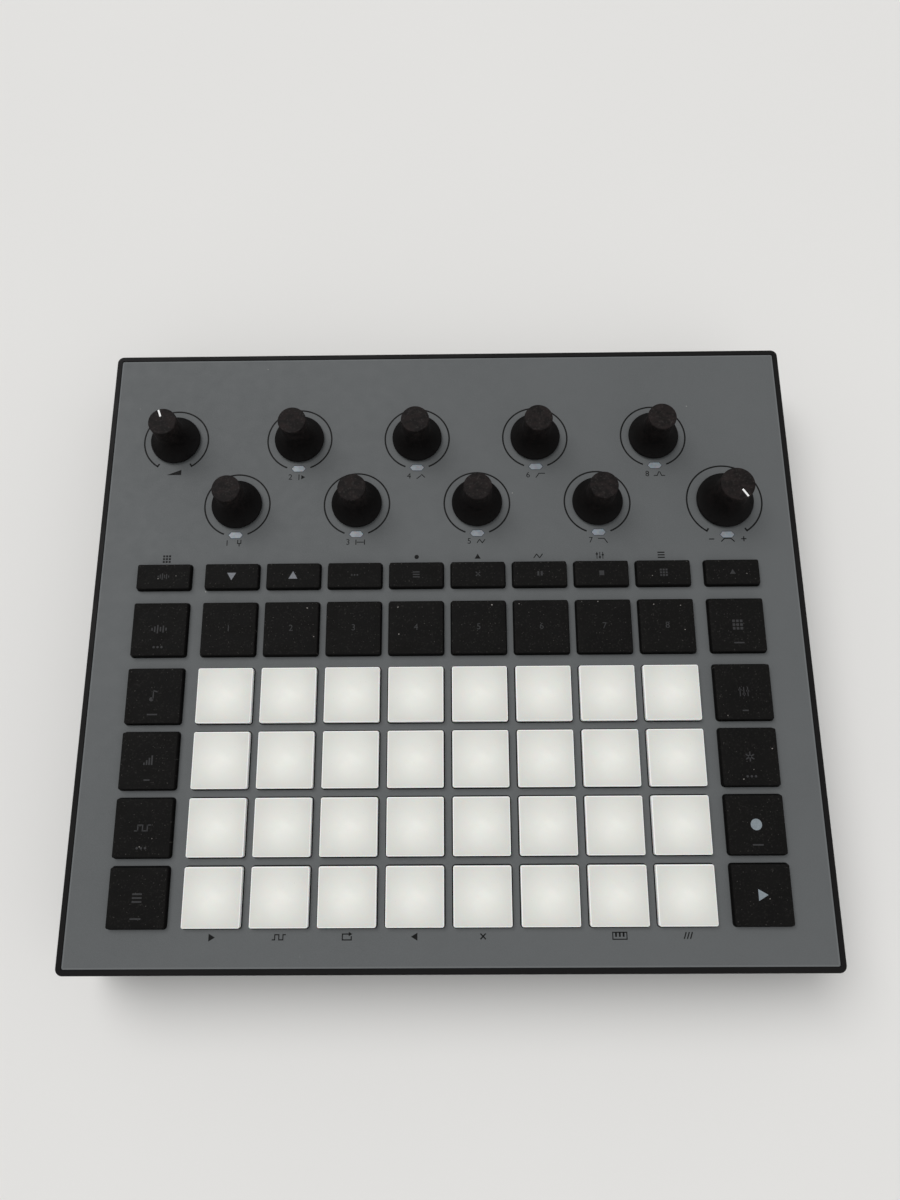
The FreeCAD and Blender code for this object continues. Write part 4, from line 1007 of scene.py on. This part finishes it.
class GROOVEBOX_OT_panel_print(bpy.types.Operator):
    """Print the rings, end ticks, numbers and marks on the panel, and paint a shadow round each opening"""

    bl_idname = "groovebox.panel_print"
    bl_label = "Panel print"

    DOWN = -math.pi / 2
    TICK = 1.15 * MM
    UPPER_NUMBERS = 57.2 * MM
    LOWER_NUMBERS = 33.0 * MM
    NUMBER_SIZE = 2.9 * MM
    NUMBER_SHIFT = -2.8 * MM
    MARK_SHIFT = 1.4 * MM
    SIGN_SHIFT = 5.5 * MM
    VOLUME_MARK_AT = 59.3 * MM
    MENU_MARKS_AT = 27.5 * MM
    PAD_MARKS_AT = -94.1 * MM
    EDGE_RISE = 0.012 * MM
    OPENING_CORNER = 0.96 * MM
    VOLUME_SCALE, FILTER_SCALE, MACRO_SCALE, PAD_SCALE = 1.5, 1.2, 0.92, 1.05
    MENU_MARKS = {
        "sample_record_key": "grid", "tempo_key": "spot", "clear_key": "peak",
        "duplicate_key": "zigzag", "save_key": "faders", "projects_key": "layers",
    }
    PAD_MARKS = ["play", "gate", "loop", "back", "cross", None, "keyboard", "slants"]
    KNOB_MARKS = ["tuning", "start", "length", "ramp", "zigzag", "high_pass", "low_pass", "bell"]

    def execute(self, context):
        sizes = context.scene.groovebox_print
        low, high = PANEL_TOP - PRINT_SINK, PANEL_TOP + sizes.ink
        for name in KNOBS:
            x, y = middle_of(name)
            macro = name in MACRO_KNOBS
            opening = sizes.macro_opening if macro else sizes.pot_opening
            radius = sizes.filter_ring if name == "filter_knob" else sizes.ring
            start, end = self.DOWN + opening, self.DOWN + FULL_TURN - opening
            mesh = bmesh.new()
            add_band(mesh, x, y, radius, sizes.line, start, end, low, high)
            if not macro:
                for angle in (start, end):
                    self.add_tick(mesh, x, y, radius, angle, sizes.line, low, high)
            new_piece(f"{name}_ring", mesh, finishes["ink"])
        self.edge_openings(sizes)
        self.print_numbers()
        self.print_marks()
        return {"FINISHED"}

    def edge_openings(self, sizes):
        """A thin black ring round the opening of each key and pad: a painted shadow of the gap round its
        key.
        """
        places = [node_box[name] for name in ALL_KEYS]
        for name in PAD_ROWS:
            places += pad_boxes(name)
        low, high = PANEL_TOP - PRINT_SINK, PANEL_TOP + self.EDGE_RISE
        mesh = bmesh.new()
        for start, end in places:
            x, y = (start.x + end.x) / 2, (start.y + end.y) / 2
            width, depth = (reach - 2 * sizes.opening_gap for reach in (end.x - start.x, end.y - start.y))
            rings = []
            for grow, height in ((0, low), (1, low), (1, high), (0, high)):
                wider = 2 * sizes.opening_edge * grow
                outline = rounded_outline(width + wider, depth + wider, self.OPENING_CORNER + wider / 2)
                rings.append([(x + px, y + py, height) for px, py in outline])
            bridge_rings(mesh, rings + rings[:1], close_start=False, close_end=False)
        bmesh.ops.remove_doubles(mesh, verts=mesh.verts[:], dist=1e-7)
        new_piece("opening_edges", mesh, finishes["ink"])

    def add_tick(self, mesh, x, y, radius, angle, width, low, high):
        """A short stroke from the end of a ring towards the knob."""
        out = Vector((math.cos(angle), math.sin(angle), 0))
        side = Vector((-out.y, out.x, 0)) * width / 2
        outer = Vector((x, y, 0)) + out * (radius + width / 2)
        inner = Vector((x, y, 0)) + out * (radius - self.TICK)
        corners = [outer - side, outer + side, inner + side, inner - side]
        add_prism(mesh, [(corner.x, corner.y) for corner in corners], low, high)

    def print_numbers(self):
        """Plain numbers under the eight macro knobs, each with a mark beside it."""
        mesh = bmesh.new()
        for number, name in enumerate(MACRO_KNOBS, start=1):
            x, _ = middle_of(name)
            level = self.LOWER_NUMBERS if number % 2 else self.UPPER_NUMBERS
            add_digit(mesh, str(number), x + self.NUMBER_SHIFT, level, PANEL_TOP, self.NUMBER_SIZE)
            mark = MARKS[self.KNOB_MARKS[number - 1]]
            add_mark(mesh, mark, x + self.MARK_SHIFT, level, PANEL_TOP, self.MACRO_SCALE)
        new_piece("knob_numbers", mesh, finishes["ink"])

    def print_marks(self):
        """Plain marks where the panel has words."""
        mesh = bmesh.new()
        x, _ = middle_of("volume_knob")
        add_mark(mesh, MARKS["wedge"], x, self.VOLUME_MARK_AT, PANEL_TOP, self.VOLUME_SCALE)
        x, _ = middle_of("filter_knob")
        for mark, shift in (("minus", -self.SIGN_SHIFT), ("band", 0), ("plus", self.SIGN_SHIFT)):
            add_mark(mesh, MARKS[mark], x + shift, self.LOWER_NUMBERS, PANEL_TOP, self.FILTER_SCALE)
        for name, mark in self.MENU_MARKS.items():
            x, _ = middle_of(name)
            add_mark(mesh, MARKS[mark], x, self.MENU_MARKS_AT, PANEL_TOP)
        for name, mark in zip(TRACK_KEYS, self.PAD_MARKS):
            x, _ = middle_of(name)
            if mark:
                add_mark(mesh, MARKS[mark], x, self.PAD_MARKS_AT, PANEL_TOP, self.PAD_SCALE)
        new_piece("panel_marks", mesh, finishes["ink"])


class GROOVEBOX_OT_stage(bpy.types.Operator):
    """Lay the floor, hang the lamps and set up the camera"""

    bl_idname = "groovebox.stage"
    bl_label = "Stage"

    FLOOR_SIZE = 12.0
    SENSOR_WIDTH = 36
    NEAREST = 0.01
    BACKDROP = 0.8
    SKY_COLOUR = (0.98, 0.99, 1.0, 1)

    # Where each lamp shines from, how wide it is and the setting of its strength
    LAMPS = {
        "key_lamp": ((-0.45, 0.5, 1.1), math.radians(42), "key_light"),
        "fill_lamp": ((0.7, -0.6, 1.0), math.radians(80), "fill_light"),
    }

    def execute(self, context):
        settings = context.scene.groovebox_stage
        self.lay_floor(settings)
        self.light_world(settings)
        for name, (place, spread, strength) in self.LAMPS.items():
            lamp = bpy.data.lights.new(name, "SUN")
            lamp.angle = spread
            lamp.energy = getattr(settings, strength)
            holder = add_object(name, lamp)
            holder.location = place
            holder.rotation_euler = (-Vector(place)).to_track_quat("-Z", "Y").to_euler()
        self.set_camera(settings)
        context.scene.view_settings.view_transform = "Standard"
        return {"FINISHED"}

    def lay_floor(self, settings):
        """A plain pale floor that reaches far past the object."""
        half = self.FLOOR_SIZE / 2
        mesh = bmesh.new()
        corners = ((-half, -half), (half, -half), (half, half), (-half, half))
        mesh.faces.new([mesh.verts.new((x, y, 0)) for x, y in corners])
        data = bpy.data.meshes.new("floor")
        mesh.to_mesh(data)
        mesh.free()
        floor = add_object("floor", data)
        finish = Finish("floor_paint")
        tone = tuple(settings.floor)
        finish.colour(finish.blend(finish.noise(6, 3), shade(tone, 0.985), shade(tone, 1.015)))
        finish.set(Roughness=0.85, Specular_IOR_Level=0.2)
        data.materials.append(finish.material)

    def light_world(self, settings):
        """Even light from all round, with a pale background where the camera sees past the floor."""
        world = bpy.data.worlds.new("studio")
        bpy.context.scene.world = world
        world.use_nodes = True
        nodes, links = world.node_tree.nodes, world.node_tree.links
        background = nodes["Background"]
        background.inputs["Color"].default_value = self.SKY_COLOUR
        path = nodes.new("ShaderNodeLightPath")
        seen = path.outputs["Is Camera Ray"]
        for kind in ("Is Glossy Ray", "Is Transmission Ray"):
            either = nodes.new("ShaderNodeMath")
            either.operation = "MAXIMUM"
            links.new(seen, either.inputs[0])
            links.new(path.outputs[kind], either.inputs[1])
            seen = either.outputs[0]
        strength = nodes.new("ShaderNodeMapRange")
        strength.inputs["To Min"].default_value = settings.sky
        strength.inputs["To Max"].default_value = self.BACKDROP
        links.new(seen, strength.inputs["Value"])
        links.new(strength.outputs["Result"], background.inputs["Strength"])

    def set_camera(self, settings):
        """Stand the camera where the photo was taken from."""
        camera = bpy.data.cameras.new("camera")
        camera.sensor_width = self.SENSOR_WIDTH
        camera.lens = settings.focal_length
        camera.clip_start = self.NEAREST
        holder = add_object("camera", camera)
        back = -Vector(settings.camera_forward).normalized()
        right = Vector(settings.camera_up).cross(back).normalized()
        up = back.cross(right)
        turn = Matrix((right, up, back)).transposed().to_4x4()
        holder.matrix_world = Matrix.Translation(settings.camera_place) @ turn
        bpy.context.scene.camera = holder


class GROOVEBOX_PT_panel(bpy.types.Panel):
    """The groovebox's steps and sizes"""

    bl_idname = "GROOVEBOX_PT_panel"
    bl_label = "Groovebox"
    bl_space_type = "VIEW_3D"
    bl_region_type = "UI"
    bl_category = "Groovebox"

    def draw(self, context):
        for step in STEPS:
            self.layout.operator(step.bl_idname)
        for name in SETTINGS:
            group = getattr(context.scene, name)
            for size in group.bl_rna.properties.keys():
                if size not in ("rna_type", "name"):
                    self.layout.prop(group, size)


STEPS = [
    GROOVEBOX_OT_finishes,
    GROOVEBOX_OT_keys,
    GROOVEBOX_OT_pads,
    GROOVEBOX_OT_key_marks,
    GROOVEBOX_OT_knobs,
    GROOVEBOX_OT_windows,
    GROOVEBOX_OT_panel_print,
    GROOVEBOX_OT_stage,
]

SETTINGS = {
    "groovebox_keys": GrooveboxKeySettings,
    "groovebox_knobs": GrooveboxKnobSettings,
    "groovebox_print": GrooveboxPrintSettings,
    "groovebox_colours": GrooveboxColourSettings,
    "groovebox_stage": GrooveboxStageSettings,
}


def register():
    for name, group in SETTINGS.items():
        bpy.utils.register_class(group)
        setattr(bpy.types.Scene, name, bpy.props.PointerProperty(type=group))
    for item in STEPS + [GROOVEBOX_PT_panel]:
        bpy.utils.register_class(item)


def unregister():
    for item in reversed(STEPS + [GROOVEBOX_PT_panel]):
        bpy.utils.unregister_class(item)
    for name, group in SETTINGS.items():
        delattr(bpy.types.Scene, name)
        bpy.utils.unregister_class(group)


def main():
    """Run every step."""
    register()
    for step in STEPS:
        getattr(bpy.ops.groovebox, step.bl_idname.split(".")[1])()
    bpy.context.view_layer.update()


if __name__ == "__main__":
    main()
